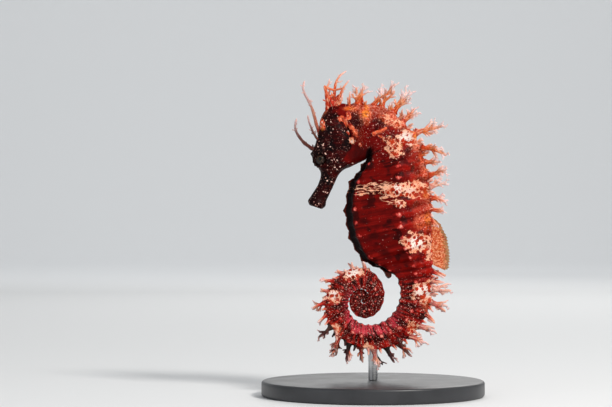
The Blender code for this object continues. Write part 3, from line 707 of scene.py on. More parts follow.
class Finish(Nodes):
    """A new material, with the shader that its nodes lead to."""

    def __init__(self, name):
        self.material = bpy.data.materials.new(name)
        self.material.use_nodes = True
        super().__init__(self.material.node_tree)
        self.shader = self.tree.nodes["Principled BSDF"]

    def set(self, **inputs):
        """Sets or joins the shader's inputs, named with _ for a space."""
        self.fill(self.shader, {key.replace("_", " "): value for key, value in inputs.items()})

    def glow(self, weight, radius):
        """Lets light run under the surface: how much, and how far for red, green and blue."""
        self.set(Subsurface_Weight=weight, Subsurface_Scale=LIGHT_DEPTH * MM, Subsurface_Radius=radius)

    def bump(self, height, strength, depth):
        """Joins a height to the shader's normal, with its depth in millimetres."""
        inputs = {"Height": height, "Strength": strength, "Distance": depth * MM}
        self.set(Normal=self.add("Bump", inputs)[0])


def shader_group(name, output, build, **numbers):
    """A node group with the input Place, an input for each number with its usual value, and one output."""
    tree = bpy.data.node_groups.new(name, "ShaderNodeTree")
    tree.interface.new_socket("Place", in_out="INPUT", socket_type="NodeSocketVector")
    for label, usual in numbers.items():
        tree.interface.new_socket(label, in_out="INPUT", socket_type="NodeSocketFloat").default_value = usual
    tree.interface.new_socket(output, in_out="OUTPUT", socket_type="NodeSocketFloat")
    start, end = tree.nodes.new("NodeGroupInput"), tree.nodes.new("NodeGroupOutput")
    tree.links.new(build(Nodes(tree), start.outputs), end.inputs[0])
    return tree


def build_speckles(n, given):
    """Uneven specks, one in a share of the cells of a cell pattern, each with a size of its own."""
    moved = n.swayed(given["Place"], 3.2, 0.30)
    cells = n.add("TexVoronoi", {"Vector": moved, "Scale": given["Scale"]})
    chance = n.add("SeparateColor", {0: cells["Color"]})
    size = n.times(given["Size"], n.times_plus(chance[1], 0.9, 0.55))
    faded = {0: cells["Distance"], 1: n.times(size, 0.55), 2: size, 3: 1.0, 4: 0.0}
    return n.times(n.maths("LESS_THAN", chance[0], given["Share"]), n.add("MapRange", faded)[0])


def build_lace(n, given):
    """Cream pierced by round holes and finer pores. Where the cover is weak the holes grow into each other,
    until only crumbs of the net are left between them."""
    place, scale = given["Place"], given["Scale"]
    moved = n.swayed(place, 1.3, 0.9)
    cells = n.add("TexVoronoi", {"Vector": moved, "Scale": scale})
    pores = n.add("TexVoronoi", {"Vector": moved, "Scale": n.times(scale, 2.6)})["Distance"]
    chance = n.add("SeparateColor", {0: cells["Color"]})[0]
    breaks = n.times_plus(n.noise(place, 2.0, roughness=0.6), 0.9, -0.52)
    cover = n.maths("ADD", given["Cover"], breaks)
    size = n.add("MapRange", {0: cover, 1: 0.0, 2: 1.0, 3: 0.72, 4: 0.40})[0]
    hole = n.times(size, n.times_plus(chance, 0.6, 0.60))
    net = n.between(n.maths("SUBTRACT", cells["Distance"], hole), 0.0, 0.09)
    pored = n.between(n.maths("SUBTRACT", pores, n.times(hole, 0.62)), 0.0, 0.12)
    there = n.times(n.between(cover, 0.02, 0.10), n.between(given["Cover"], 0.02, 0.14))
    return n.times(net, pored, there)


def build_relief(n, given):
    """Height of fine skin: pebbles of a fifth of a millimetre over soft folds, with grain on both."""
    place = given["Place"]
    pebbles = n.add("TexVoronoi", {"Vector": place, "Scale": 4.5}, feature="SMOOTH_F1")["Distance"]
    height = n.times_plus(pebbles, -0.5, n.noise(place, 1.5))
    return n.times_plus(n.noise(place, 9.0, 2.0), 0.35, height)


SPECKLES = shader_group("speckles", "Mask", build_speckles, Scale=2.0, Size=0.3, Share=0.5)
LACE_NET = shader_group("lace net", "Net", build_lace, Scale=1.2, Cover=0.5)
SKIN_RELIEF = shader_group("skin relief", "Height", build_relief)
LIGHT_DEPTH = 0.4

DEEP_RED, BRIGHT_RED, MAROON = (0.110, 0.0007, 0.0005), (0.34, 0.0050, 0.0015), (0.028, 0.0005, 0.0005)
HEAD_RED, NEAR_BLACK, DARKEST_RED = (0.055, 0.0012, 0.0010), (0.005, 0.0010, 0.0012), (0.018, 0.0006, 0.0006)
STREAK_RED, SCARLET, DARK_SCARLET = (0.44, 0.011, 0.006), (0.80, 0.13, 0.05), (0.36, 0.010, 0.005)
ORANGE, CREAM, WHITE = (0.78, 0.085, 0.014), (0.88, 0.46, 0.30), (0.93, 0.76, 0.68)
SALMON, AMBER, RUST = (0.80, 0.19, 0.095), (0.88, 0.26, 0.035), (0.52, 0.035, 0.008)
PINK_SKIN, TAN, CORAL = (0.66, 0.045, 0.070), (0.090, 0.034, 0.012), (0.86, 0.36, 0.22)
KNOB_RED, KNOB_PALE, BLOOM_PINK = (0.60, 0.055, 0.045), (0.84, 0.32, 0.25), (0.86, 0.33, 0.24)
SPECK_CREAM, SPOT_CREAM, PEACH = (0.86, 0.44, 0.36), (0.88, 0.55, 0.46), (0.84, 0.30, 0.16)


def skin_colour(n, place):
    """The skin's colour: mottled red, darker on the head, with painted shade in the grooves between rings and
    under the head beside the skin's own dark blotches, drawn out in dark and bright streaks from the belly to
    the back, with orange and pink zones, raised lobes, pale knobs, a cream net with white cores, and fine
    cream specks. A near-black painted shadow lies along the belly's underside, in the gill slit, by the
    throat and inside the mouth."""
    patchy, mid, fine = n.noise(place, 0.42), n.noise(place, 0.9), n.noise(place, 2.4, roughness=0.6)
    drawn_out = n.add("CombineXYZ", {0: n.times(n.mark("ring"), 3.1), 1: n.times(n.mark("half"), 0.8)})[0]
    bands = n.noise(drawn_out, 1.0, roughness=0.65)
    stripes, shade, specks = n.mark("stripes"), n.mark("shade"), n.mark("specks")
    lace, streak = n.mark("lace"), n.mark("streak")
    rear = n.times_plus(n.mark("rear"), 0.75, 0.25)
    red = n.mixed(n.times(n.between(patchy, 0.36, 0.54), rear), DEEP_RED, BRIGHT_RED)
    from_snout = n.between(n.add("SeparateXYZ", {0: place})[0], -16.0, -9.0, 0.15, 1.0)
    level = n.noise(n.scaled(place, (0.6, 0.6, 2.6)), 1.0, roughness=0.6)
    ruddy = n.times(from_snout, n.between(patchy, 0.36, 0.56), n.between(level, 0.62, 0.44, 0.25, 1.0))
    heat = n.mixed(n.between(patchy, 0.40, 0.57), ORANGE, SALMON)
    bloom = n.mixed(n.between(fine, 0.40, 0.54), BLOOM_PINK, ORANGE)
    flesh = n.mixed(n.between(mid, 0.48, 0.58), SCARLET, DARK_SCARLET)
    flesh = n.coated(flesh, (CORAL, n.between(fine, 0.46, 0.36, 0.0, 0.9)))
    large = n.group(SPECKLES, Place=place, Scale=2.3, Size=0.27, Share=specks)
    small = n.group(SPECKLES, Place=place, Scale=5.0, Size=0.30, Share=specks)
    worn = n.frayed(n.frayed(n.mark("knobs"), mid, 1.6), fine, 0.9)
    net = n.group(LACE_NET, Place=place, Scale=0.92, Cover=lace)
    threads = n.group(LACE_NET, Place=n.scaled(place, (0.42, 0.42, 1.45)), Scale=1.45, Cover=streak)
    cream = n.mixed(n.between(mid, 0.46, 0.62, 0.0, 0.75), CREAM, PEACH)
    cream = n.coated(cream, (WHITE, n.mark("core")))
    return n.coated(
        red,
        (MAROON, n.between(n.noise(place, 0.36, 1.0), 0.54, 0.64, 0.0, 0.85)),
        (STREAK_RED, n.between(bands, 0.48, 0.36), stripes),
        (DARKEST_RED, n.between(bands, 0.50, 0.60), stripes),
        # painted shade in the grooves between rings and under the head, with the skin's own dark blotches
        (MAROON, n.mark("fold")),
        (MAROON, n.mark("coil"), 0.5),
        (PINK_SKIN, n.mark("pink"), n.between(bands, 0.60, 0.46)),
        (n.mixed(ruddy, NEAR_BLACK, HEAD_RED), n.mark("head")),
        (heat, n.mark("warm"), n.between(fine, 0.62, 0.44, 0.1, 1.0)),
        (bloom, n.mark("bloom"), n.between(fine, 0.60, 0.44, 0.2, 0.9)),
        (flesh, n.between(n.mark("lobes"), 0.15, 0.45)),
        (AMBER, n.mark("gold"), n.between(fine, 0.64, 0.46, 0.2, 1.0)),
        # near-black painted shadow on the belly's underside, in the gill slit, by the throat and inside the
        # mouth
        (NEAR_BLACK, shade),
        (TAN, n.mark("keel")),
        (SPECK_CREAM, n.maths("MAXIMUM", large, n.times(small, 0.5)), n.times_plus(shade, -0.9, 1.0)),
        (KNOB_RED, n.between(worn, 0.50, 0.74)),
        (KNOB_PALE, n.between(worn, 0.84, 1.0)),
        (RUST, n.between(lace, 0.25, 0.75), n.between(mid, 0.40, 0.56, 0.2, 0.8)),
        (cream, n.maths("MAXIMUM", net, threads)),
        (SPOT_CREAM, n.between(n.frayed(n.mark("spots"), fine, 1.3), 0.45, 0.57)),
    )


def make_skin_material():
    """Wet skin, with a low sheen that varies from place to place."""
    n = Finish("wet red skin")
    place = n.place()
    roughness = n.between(n.noise(place, 1.1, 2.0), 0.35, 0.7, 0.36, 0.52)
    n.set(Base_Color=skin_colour(n, place), Roughness=roughness)
    n.set(Specular_IOR_Level=0.05, Coat_Weight=0.02, Coat_Roughness=0.35)
    n.glow(0.06, (1.0, 0.2, 0.1))
    n.bump(n.group(SKIN_RELIEF, Place=place), 0.6, 0.18)
    return n.material


def make_frond_material():
    """Skin fronds: from the skin's red or orange at the root to a pale tip, drawn out in dark and cream
    streaks along them. The mark blush is 1 where they are the tail's deep red, and 0 where they are the
    nape's orange; pale is 1 by a cream patch, and dusk where they are darkened: painted shade on fronds low
    under the tail's coil, and the brow threads' own deep maroon. turn_x and turn_y are the place round the
    stem."""
    n = Finish("frond skin")
    place, along, blush = n.place(), n.mark("along"), n.mark("blush")
    fine = n.noise(place, 3.0, roughness=0.6)
    lengthwise = {0: n.mark("turn_x"), 1: n.mark("turn_y"), 2: n.times(along, 1.6)}
    lengthwise = n.scaled_plus(place, 0.5, n.add("CombineXYZ", lengthwise)[0])
    grain = n.noise(lengthwise, 1.5, roughness=0.6)
    moved = n.frayed(along, fine, 0.6)
    root = n.mixed(blush, (0.58, 0.050, 0.010), (0.22, 0.003, 0.003))
    middle = n.mixed(blush, (0.80, 0.19, 0.045), (0.60, 0.035, 0.024))
    tip = n.mixed(blush, (0.88, 0.68, 0.67), (0.92, 0.62, 0.60))
    dark = n.mixed(n.between(along, 0.1, 0.7), (0.014, 0.007, 0.005), (0.060, 0.012, 0.014))
    colour = n.coated(
        n.mixed(n.between(moved, 0.02, 0.34), root, middle),
        (CORAL, n.between(moved, 0.30, 0.58)),
        (tip, n.between(moved, 0.50, 0.80)),
        (CREAM, n.between(grain, 0.46, 0.38, 0.0, 0.75)),
        ((0.90, 0.56, 0.46), n.mark("pale"), n.between(fine, 0.60, 0.42, 0.3, 0.9)),
        ((0.34, 0.014, 0.008), n.between(grain, 0.52, 0.66), n.between(along, 0.95, 0.30, 0.10, 0.85)),
        (dark, n.mark("dusk"), n.between(moved, 1.15, 0.60)),
    )
    n.set(Base_Color=colour, Roughness=0.42, Specular_IOR_Level=0.10)
    n.glow(0.2, (1.0, 0.45, 0.3))
    n.bump(fine, 0.5, 0.10)
    return n.material


def make_fin_material():
    """Thin skin between rays: spotted orange-red with a cream net like the back's, olive and clearer towards
    the edge. The mark body is 1 where it is as solid as that, and 0 where it is a clear fan; dark is 1 where
    it is a deep red."""
    n = Finish("clear fin skin")
    place, ray, body = n.place(), n.mark("ray"), n.mark("body")
    fine = n.noise(place, 2.4, roughness=0.6)
    out = n.frayed(n.mark("out"), fine, 0.5)
    cover = n.maths("MAXIMUM", n.mark("lace"), n.times(body, n.between(out, 0.2, 0.95, 0.62, 0.34)))
    net = n.group(LACE_NET, Place=place, Scale=2.4, Cover=cover)
    colour = n.coated(
        n.mixed(n.between(fine, 0.42, 0.58), (0.50, 0.046, 0.010), (0.62, 0.14, 0.032)),
        ((0.30, 0.18, 0.055), n.between(out, 0.62, 0.92)),
        ((0.36, 0.020, 0.007), n.group(SPECKLES, Place=place, Scale=1.5, Size=0.50, Share=0.6), 0.8),
        ((0.56, 0.09, 0.03), ray, 0.35),
        ((0.84, 0.36, 0.19), net, n.between(out, 1.0, 0.6, 0.5, 1.0)),
    )
    colour = n.coated((0.42, 0.045, 0.012), (colour, body), ((0.060, 0.004, 0.003), n.mark("dark")))
    clear = n.times_plus(ray, 0.22, 0.12)
    more = n.maths("SUBTRACT", n.between(out, 1.02, 0.62, 0.68, 1.0), clear)
    n.set(Base_Color=colour, Alpha=n.times_plus(more, body, clear), Roughness=0.38, Specular_IOR_Level=0.15)
    n.glow(0.2, (1.0, 0.5, 0.25))
    n.bump(fine, 0.3, 0.05)
    return n.material


def make_eye_material():
    """A clear wet eye: black pupil, thin gold ring, and a dark iris with pale streaks out from the middle."""
    n = Finish("wet eye")
    across, upward = n.mark("across"), n.mark("upward")
    squares = n.times_plus(upward, upward, n.times(across, across))
    out = n.maths("SQRT", n.maths("MAXIMUM", squares, 1e-6))
    spoke = {0: n.maths("DIVIDE", across, out), 1: n.maths("DIVIDE", upward, out), 2: n.times(out, 0.5)}
    spokes = n.noise(n.add("CombineXYZ", spoke)[0], 4.5, 2.0, 0.6)
    colour = n.coated(
        n.mixed(n.between(out, 0.40, 0.95), (0.024, 0.011, 0.008), (0.006, 0.003, 0.003)),
        ((0.13, 0.075, 0.05), n.between(spokes, 0.50, 0.68), 0.5),
        ((0.12, 0.062, 0.022), n.between(out, 0.40, 0.37)),
        ((0.001, 0.001, 0.001), n.between(out, 0.355, 0.335)),
    )
    n.set(Base_Color=colour, Roughness=0.3, Specular_IOR_Level=0.05, Coat_Weight=0.3, Coat_Roughness=0.03)
    return n.material


def make_paint_material():
    """Satin charcoal paint with a faint pebbled skin and a little dust in its tone."""
    n = Finish("satin charcoal paint")
    place = n.place()
    cloud = n.noise(place, 0.12, 4.0)
    colour = n.mixed(n.between(cloud, 0.35, 0.65), (0.026, 0.027, 0.030), (0.036, 0.037, 0.041))
    n.set(Base_Color=colour, Roughness=n.between(cloud, 0.3, 0.7, 0.34, 0.44))
    n.bump(n.noise(place, 3.0), 0.25, 0.05)
    return n.material


def make_steel_material():
    """Bright steel, brushed round the rod."""
    n = Finish("brushed steel")
    lines = n.noise(n.scaled(n.place(), (0.3, 0.3, 14.0)), 1.0)
    n.set(Base_Color=n.mixed(lines, (0.50, 0.50, 0.51), (0.68, 0.68, 0.68)), Metallic=1.0)
    n.set(Roughness=n.between(lines, 0.2, 0.8, 0.22, 0.38))
    n.bump(lines, 0.2, 0.02)
    return n.material


def make_floor_material():
    """Plain matt pale grey."""
    n = Finish("pale studio floor")
    n.set(Base_Color=(0.78, 0.79, 0.80), Roughness=0.75, Specular_IOR_Level=0.2)
    return n.material


# ------------------------------------------------------------------------------------------------- skin

# Rows of the mouth's rim and inside, from the deepest out: share of the end row's size, depth
MOUTH_ROWS = (
    (0.18, 1.3), (0.34, 1.0), (0.43, 0.4), (0.51, 0.02),
    (0.61, -0.21), (0.73, -0.34), (0.86, -0.29), (0.96, -0.13),
)


def mouth_rows(end, further):
    """Rows of the mouth: copies of the snout's end row, drawn in towards its middle and pushed in or out."""
    middle = end.mean(axis=0)
    inwards = unit(further.mean(axis=0) - middle)
    share, depth = np.array(MOUTH_ROWS).T[..., None, None]
    return middle + (end - middle) * share + inwards * depth


class Skin:
    """The skin's grid of points, with what the pieces that grow from it ask of it."""

    def __init__(self):
        self.rings, self.steps, self.points = skin_surface()
        self.normals = grid_normals(self.points)

    def root(self, rings, steps):
        """The skin's point and normal nearest to each ring and step."""
        row = np.abs(self.rings[None, :] - np.asarray(rings)[:, None]).argmin(axis=1)
        column = np.round(np.asarray(steps) * SKIN_ROUND / 8).astype(int) % SKIN_ROUND
        return self.points[row, column], self.normals[row, column]


FLESH_NODES = ("snout", "head", "neck", "trunk_upper", "trunk_middle", "trunk_lower")
FLESH_NODES += tuple(f"tail_{number}" for number in range(1, 8))

# How many of the mouth's rows, deepest first, are painted in shade
MOUTH_SHADE_ROWS = 4


def make_skin(skin, material):
    """The one skin from the mouth to the tip of the tail, in place of the body's lengths."""
    inside = mouth_rows(skin.points[0], skin.points[6])
    points = np.concatenate([inside, skin.points])
    rings = np.concatenate([np.full(len(inside), MOUTH), skin.rings])
    rings, half = np.broadcast_arrays(rings[:, None], half_step(skin.steps))
    marks = markings(points, rings, half)
    # The inside of the mouth gets painted shade, and no specks.
    marks["shade"][:MOUTH_SHADE_ROWS] = 1.0
    marks["specks"][:MOUTH_SHADE_ROWS] = 0.0
    make_closed_piece("skin", FLESH_NODES, points, material, "skin_red", marks, reach=TIP_REACH)


# ------------------------------------------------------------------------------------------- fine threads

TUBE_SIDES, THREAD_SIDES = 6, 10

# How much stems, twigs and tips are flared at the root, and over what length
ROOT_FILLETS = ((1.2, 0.7), (0.5, 0.3), (0.4, 0.25))

# How long a stem must be to have each of its twigs, and a twig to have each of its tips
TWIG_LIMITS = (1.5, 2.6, 2.2, 3.2, 2.0)
TIP_LIMITS = (1.1, 1.4)
BRANCH_PLACES = np.array((0.0, 0.07, 0.18, 0.32, 0.48, 0.64, 0.80, 0.92, 0.985))


def blend(ends, share):
    """Numbers between each row's two ends, at the shares of the way from the first to the second."""
    return ends[:, :1] + (ends[:, 1:] - ends[:, :1]) * share


def round_tip(u, start):
    """1 up to the start of a tip, then falling as a quarter circle does, nearly to 0."""
    return np.sqrt(np.clip(1 - ((u - start) / (1 - start)).clip(0) ** 2, 0.02, 1))


class Strands:
    """Many curved tapering stems at once. Each leaves its start along `way`, bends towards `aside`, and is
    flatter across than along `aside`. tone says where its colour starts and ends between root and tip."""

    def __init__(self, start, way, aside, bend, length, radii, tone, flat=0.7):
        self.start, self.way = np.asarray(start, float), unit(np.asarray(way, float))
        aside = np.asarray(aside, float)
        aside = aside - (aside * self.way).sum(axis=-1, keepdims=True) * self.way
        self.aside, self.out = unit(aside), np.cross(self.way, unit(aside))
        self.bend, self.length = np.asarray(bend, float), np.asarray(length, float)
        self.radii, self.tone = np.asarray(radii, float), np.asarray(tone, float)
        self.flat = flat

    def at(self, u):
        """Centre, tangent, and the in-plane normal at the shares u of the length: a parabola."""
        u = np.asarray(u, float)[..., None]
        length, bend = self.length[:, None, None], self.bend[:, None, None]
        way, aside = self.way[:, None], self.aside[:, None]
        centre = self.start[:, None] + length * (u * way + 0.5 * bend * u**2 * aside)
        return centre, unit(way + bend * u * aside), unit(aside - bend * u * way)

    def loops(self, flare=0.4, fillet=0.3, u=BRANCH_PLACES):
        """(paths, in-plane normals, cross normals, radii, tones), each stems x places. A stem tapers evenly,
        flares at its root over the fillet's length and has a round, slightly swollen tip."""
        centre, _, aside = self.at(np.broadcast_to(u, (len(self.start), len(u))))
        out = np.broadcast_to(self.out[:, None], aside.shape)
        root = flare * np.exp(-u * self.length[:, None] / fillet)
        radius = blend(self.radii, u) * (1 + root + 0.22 * hill(u - 0.88, 0.12)) * round_tip(u, 0.86)
        return centre, aside, out * self.flat, radius, blend(self.tone, u)

    def branches(self, places, swings, tilts, shares, radii, keep):
        """Stems that leave these at the places along them. All arguments are stems x branches."""
        centre, tangent, aside = self.at(places)
        out = np.broadcast_to(self.out[:, None], aside.shape)
        swings, tilts = swings[..., None], tilts[..., None]
        way = np.cos(swings) * tangent + np.sin(swings) * aside + tilts * out
        turn = np.cos(swings) * aside - np.sin(swings) * tangent
        length = shares * self.length[:, None]
        tone, thick = blend(self.tone, places), blend(self.radii, places) * radii
        pick = keep & np.ones_like(length, bool)
        bend = np.sign(-swings[..., 0]) * 0.5
        ends = np.stack([thick, np.maximum(thick * 0.7, 0.13)], axis=-1)
        tones = np.stack([tone, np.minimum(tone + 0.45, 1.0)], axis=-1)
        kept = [values[pick] for values in (centre, way, turn, bend, length, ends, tones)]
        return Strands(*kept, self.flat)


def tube_grid(path, aside, out, radius, sides):
    """Rings of points round each path, roughened a little: stems x places x sides x 3."""
    turn = -np.arange(sides) * 2 * math.pi / sides
    around = np.cos(turn)[:, None] * aside[:, :, None] + np.sin(turn)[:, None] * out[:, :, None]
    points = path[:, :, None] + radius[:, :, None, None] * around
    rough = 0.16 * lattice_noise(points / 0.45, 51) * radius[:, :, None]
    return points + rough[..., None] * around


def joined_tubes(name, sets, material, marks, sides=TUBE_SIDES):
    """All the tubes of the sets as one mesh, each closed at both ends, each with a cell of its own in the
    map. A set is (paths, aside, out, radii, tones) as Strands.loops gives them. marks have a number for
    each tube."""
    wide = math.ceil(math.sqrt(sum(len(one[0]) for one in sets)))
    points, tones, turns, quads, tris, quad_uv, tri_uv, whose = ([] for _ in range(8))
    base, done = 0, 0
    for path, aside, out, radius, tone in sets:
        count, places = radius.shape
        size = places * sides + 2
        grid = tube_grid(path, aside, out, radius, sides)
        beyond = path[:, -1] + unit(path[:, -1] - path[:, -2]) * radius[:, -1:] * 0.5
        ends = np.stack([path[:, 0], beyond], axis=1)
        points.append(np.concatenate([grid.reshape(count, -1, 3), ends], axis=1).reshape(-1, 3))
        tone = np.repeat(tone, sides, axis=1)
        tones.append(np.concatenate([tone, tone[:, :1], tone[:, -1:]], axis=1).ravel())
        column = np.concatenate([np.tile(np.arange(sides), places), (0, 0)])
        turns.append(np.tile(column, count) * 2 * math.pi / sides)
        (corners, caps), (at, cap_at) = capped_faces(places, sides)
        first = base + np.arange(count)[:, None, None] * size
        quads.append((first + corners).reshape(-1, 4))
        tris.append((first + caps).reshape(-1, 3))
        tube = done + np.arange(count)
        cell = np.stack([tube % wide, tube // wide], axis=1)[:, None, None]
        quad_uv.append(((cell + 0.06 + 0.88 * at) / wide).reshape(-1, 4, 2))
        tri_uv.append(((cell + 0.06 + 0.88 * cap_at) / wide).reshape(-1, 3, 2))
        whose.append(np.repeat(tube, size))
        base += count * size
        done += count
    turn, whose = np.concatenate(turns), np.concatenate(whose)
    kept = {key: values[whose] for key, values in marks.items()}
    kept |= {"along": np.concatenate(tones), "turn_x": np.cos(turn), "turn_y": np.sin(turn)}
    faces = (np.concatenate(quads), np.concatenate(tris))
    uvs = (np.concatenate(quad_uv), np.concatenate(tri_uv))
    make_piece(name, np.concatenate(points), faces, uvs, material, "frond", kept)


def way_of(heading, splay, side):
    """Unit vectors from headings above +X in side view and splays away from the middle, in degrees."""
    h, s, side = np.broadcast_arrays(np.radians(heading), np.radians(splay), side)
    return np.stack([np.cos(h) * np.cos(s), side * np.sin(s), np.sin(h) * np.cos(s)], axis=-1)


def bushes(skin, table, seed, branchy):
    """Every frond of a table on both flanks, with smaller ones between, as three generations of Strands. On
    the trunk, whose cones are high, they stand out less."""
    rng = np.random.default_rng(seed)
    ring, length, heading = np.array(table, float).T
    shape = (2, len(ring))
    side = np.array((-1.0, 1.0))[:, None] * np.ones(shape)
    kinds = ((0.0, 1.0, 0.0, 1.0, FROND_SPREAD), (0.5, 0.42, 24.0, 1.7, 0.0))
    rows = []
    for shift, share, loose, splay, spread in kinds:
        turn = rng.uniform(-1, 1, shape) * loose + spread * side
        size = length * share * rng.uniform(0.85, 1.1, shape) * (1 - 0.17 * hill(ring - 4, 5, 8))
        columns = ring + shift, size, heading + turn, side, splay * FROND_SPLAY
        rows.append(np.stack(np.broadcast_arrays(*columns)))
    ring, length, heading, side, splay = np.concatenate(rows, axis=1).reshape(5, -1)
    low = frond_step(ring) + np.where(splay < FROND_SPLAY, 0.35, 0.0)
    start, normal = skin.root(ring, np.where(side < 0, low, 8 - low))
    way = way_of(heading, splay, side)
    aside = np.cross(way, (0.0, 1.0, 0.0)) * np.where(rng.random(len(way)) < 0.5, -1, 1)[:, None]
    thick = np.clip(0.26 + 0.05 * length, 0.28, 0.56)
    radii = np.stack([thick, np.maximum(0.50 * thick, 0.18)], axis=1)
    tone = np.stack([0 * length, rng.uniform(0.60, 1.0, len(length))], axis=1)
    bend = rng.uniform(-0.5, 0.5, len(length))
    stems = Strands(start - normal * 0.45, way, aside, bend, length + 0.45, radii, tone, flat=0.62)
    count = len(TWIG_LIMITS)
    shape = (len(length), count)
    places = np.linspace(0.30, 0.90, count) + rng.uniform(-0.06, 0.06, shape)
    flip = np.where(np.arange(count) % 2 == 0, 1.0, -1.0)
    keep = branchy * length[:, None] * rng.uniform(0.6, 1.25, shape) > TWIG_LIMITS
    shares = (0.56 - 0.36 * places) * rng.uniform(0.6, 1.25, shape)
    swings = flip * rng.uniform(0.5, 1.0, shape)
    twigs = stems.branches(places, swings, rng.uniform(-0.5, 0.5, shape), shares, 0.74, keep)
    shape = (len(twigs.length), len(TIP_LIMITS))
    places = np.array((0.45, 0.72)) + rng.uniform(-0.08, 0.08, shape)
    swings = np.array((1.0, -1.0)) * rng.uniform(0.55, 0.95, shape)
    shares = rng.uniform(0.35, 0.60, shape)
    keep = twigs.length[:, None] * rng.uniform(0.6, 1.3, shape) > TIP_LIMITS
    tips = twigs.branches(places, swings, rng.uniform(-0.5, 0.5, shape), shares, 0.85, keep)
    return [stems, twigs, tips]


def make_fronds(skin, name, table, seed, branchy, blush, material):
    """The fronds of one stretch of the body. They are blushed less up the back towards the nape, and some
    of those under the tail's coil are darkened by painted shade."""
    generations = bushes(skin, table, seed, branchy)
    sets = [strands.loops(*fillet) for strands, fillet in zip(generations, ROOT_FILLETS)]
    roots = np.concatenate([strands.start for strands in generations])
    x, _, z = roots.T
    chance = lattice_noise(roots / 1.7, seed + 5) * 0.5 + 0.5
    marks = {
        # Painted shade on some fronds low under the tail's coil.
        "dusk": ramp(chance, 0.42, 0.60) * (1 - ramp(x, 6.0, 10.0)) * (1 - ramp(z, 17.0, 24.0)),
        "blush": blush * (1 - ramp(z, 46.0, 72.0)),
        "pale": patches(x, z, LACE, -0.2),
    }
    joined_tubes(name, sets, material, marks)


# ---------------------------------------------------------------------------------------- head's threads

# On one side: the points passed, radii at root and tip, tones at root and tip; and how dark each thread is
BROW_THREADS = (
    (((-12.9, 0.5, 66.5), (-14.5, 1.0, 70.0), (-15.2, 1.3, 72.6), (-16.2, 1.6, 75.6), (-17.7, 2.1, 78.5),
      (-18.2, 2.5, 80.3), (-17.7, 2.8, 81.8)), (0.52, 0.22), (0.30, 1.0)),
    (((-12.5, 0.9, 64.4), (-14.6, 1.6, 67.0), (-15.6, 2.1, 68.7), (-16.4, 2.6, 70.6), (-17.0, 3.1, 72.9)),
     (0.36, 0.20), (0.20, 1.0)),
    (((-12.4, 0.9, 63.1), (-14.8, 1.6, 63.8), (-16.8, 2.2, 64.9), (-18.8, 2.8, 66.8), (-20.2, 3.3, 69.5),
      (-19.8, 3.6, 72.1)), (0.74, 0.22), (0.0, 1.0)),
)
BROW_DUSK = (0.45, 0.85, 0.9)

# The coronet's foot, its height, and its threads as for the brow, but with places as they are
CROWN_FOOT = (-10.3, 0.0, 71.9)
CROWN_RISE = 5.5
CROWN_THREADS = (
    (((-11.0, -0.5, 71.6), (-11.8, -0.8, 74.4), (-12.0, -1.0, 77.0), (-12.2, -1.0, 79.0),
      (-12.6, -1.1, 80.7)), (0.64, 0.38), (0.0, 0.60)),
    (((-12.2, -1.0, 79.9), (-11.6, -1.0, 80.9), (-11.3, -1.1, 82.4)), (0.36, 0.20), (0.65, 1.0)),
    (((-10.4, 0.2, 71.6), (-10.3, 0.3, 75.2), (-10.1, 0.4, 77.6), (-9.9, 0.5, 79.8), (-9.5, 0.7, 81.8),
      (-8.4, 1.0, 83.4), (-6.8, 1.3, 84.6)), (0.66, 0.22), (0.0, 1.0)),
    (((-9.5, -0.7, 71.8), (-9.6, -0.8, 74.8), (-9.1, -0.8, 76.6), (-8.4, -0.9, 78.4), (-7.6, -1.1, 80.2),
      (-6.1, -1.4, 82.1)), (0.66, 0.23), (0.0, 0.95)),
    (((-9.4, 0.7, 71.8), (-9.1, 1.2, 75.0), (-8.6, 2.0, 77.4), (-7.7, 2.9, 79.8)), (0.72, 0.24), (0.0, 0.9)),
    (((-11.2, 0.7, 71.4), (-11.4, 1.3, 75.0), (-11.6, 2.0, 77.6), (-11.2, 2.6, 79.8)),
     (0.74, 0.24), (0.0, 0.9)),
    (((-12.2, -1.0, 80.0), (-11.0, -0.6, 79.7), (-9.9, 0.4, 79.5), (-8.9, -0.3, 79.7),
      (-7.8, -1.1, 79.9)), (0.28, 0.30), (0.6, 0.7)),
    (((-9.6, 0.6, 81.5), (-8.8, 0.5, 81.7), (-8.2, 0.4, 81.6)), (0.25, 0.20), (0.8, 0.95)),
    (((-11.9, -1.0, 77.2), (-11.0, -0.4, 77.9), (-10.2, 0.3, 78.3)), (0.40, 0.34), (0.45, 0.6)),
    (((-8.9, -0.9, 75.6), (-8.2, -1.1, 76.9), (-7.9, -1.2, 78.6)), (0.34, 0.20), (0.55, 1.0)),
    (((-6.1, -0.8, 74.4), (-6.1, -1.0, 76.8), (-6.0, -1.2, 79.1)), (0.42, 0.22), (0.35, 1.0)),
    (((-2.9, -1.2, 74.4), (-3.0, -1.4, 76.8), (-2.9, -1.6, 78.6), (-2.8, -1.7, 80.1)),
     (0.62, 0.26), (0.1, 1.0)),
    (((-6.6, 0.9, 74.4), (-6.4, 1.3, 76.2), (-6.5, 1.7, 77.8)), (0.40, 0.22), (0.35, 0.95)),
)


def thread_loops(rows, fade, flat, places=26):
    """Loops for tubes that pass smoothly through the points of each row, tapering to a round tip. Their tones
    are lowered by fade, and their thickness from side to side is `flat` of their width."""
    u = np.linspace(0, 1, places)
    paths = np.stack([smooth_curve(u * (len(row[0]) - 1), range(len(row[0])), row[0]) for row in rows])
    along = unit(np.gradient(paths, axis=1))
    aside = unit(np.cross(along, (0.15, 1.0, 0.1)))
    ends, tones = (np.array([row[k] for row in rows]) for k in (1, 2))
    radius = blend(ends, u**0.6) * (1 + 0.20 * lattice_noise(paths / 0.8, 21))
    radius = radius * (1 + 0.35 * hill(u, 0.14)) * round_tip(u, 0.94)
    return paths, aside, np.cross(along, aside) * flat, radius, blend(tones - fade, u)


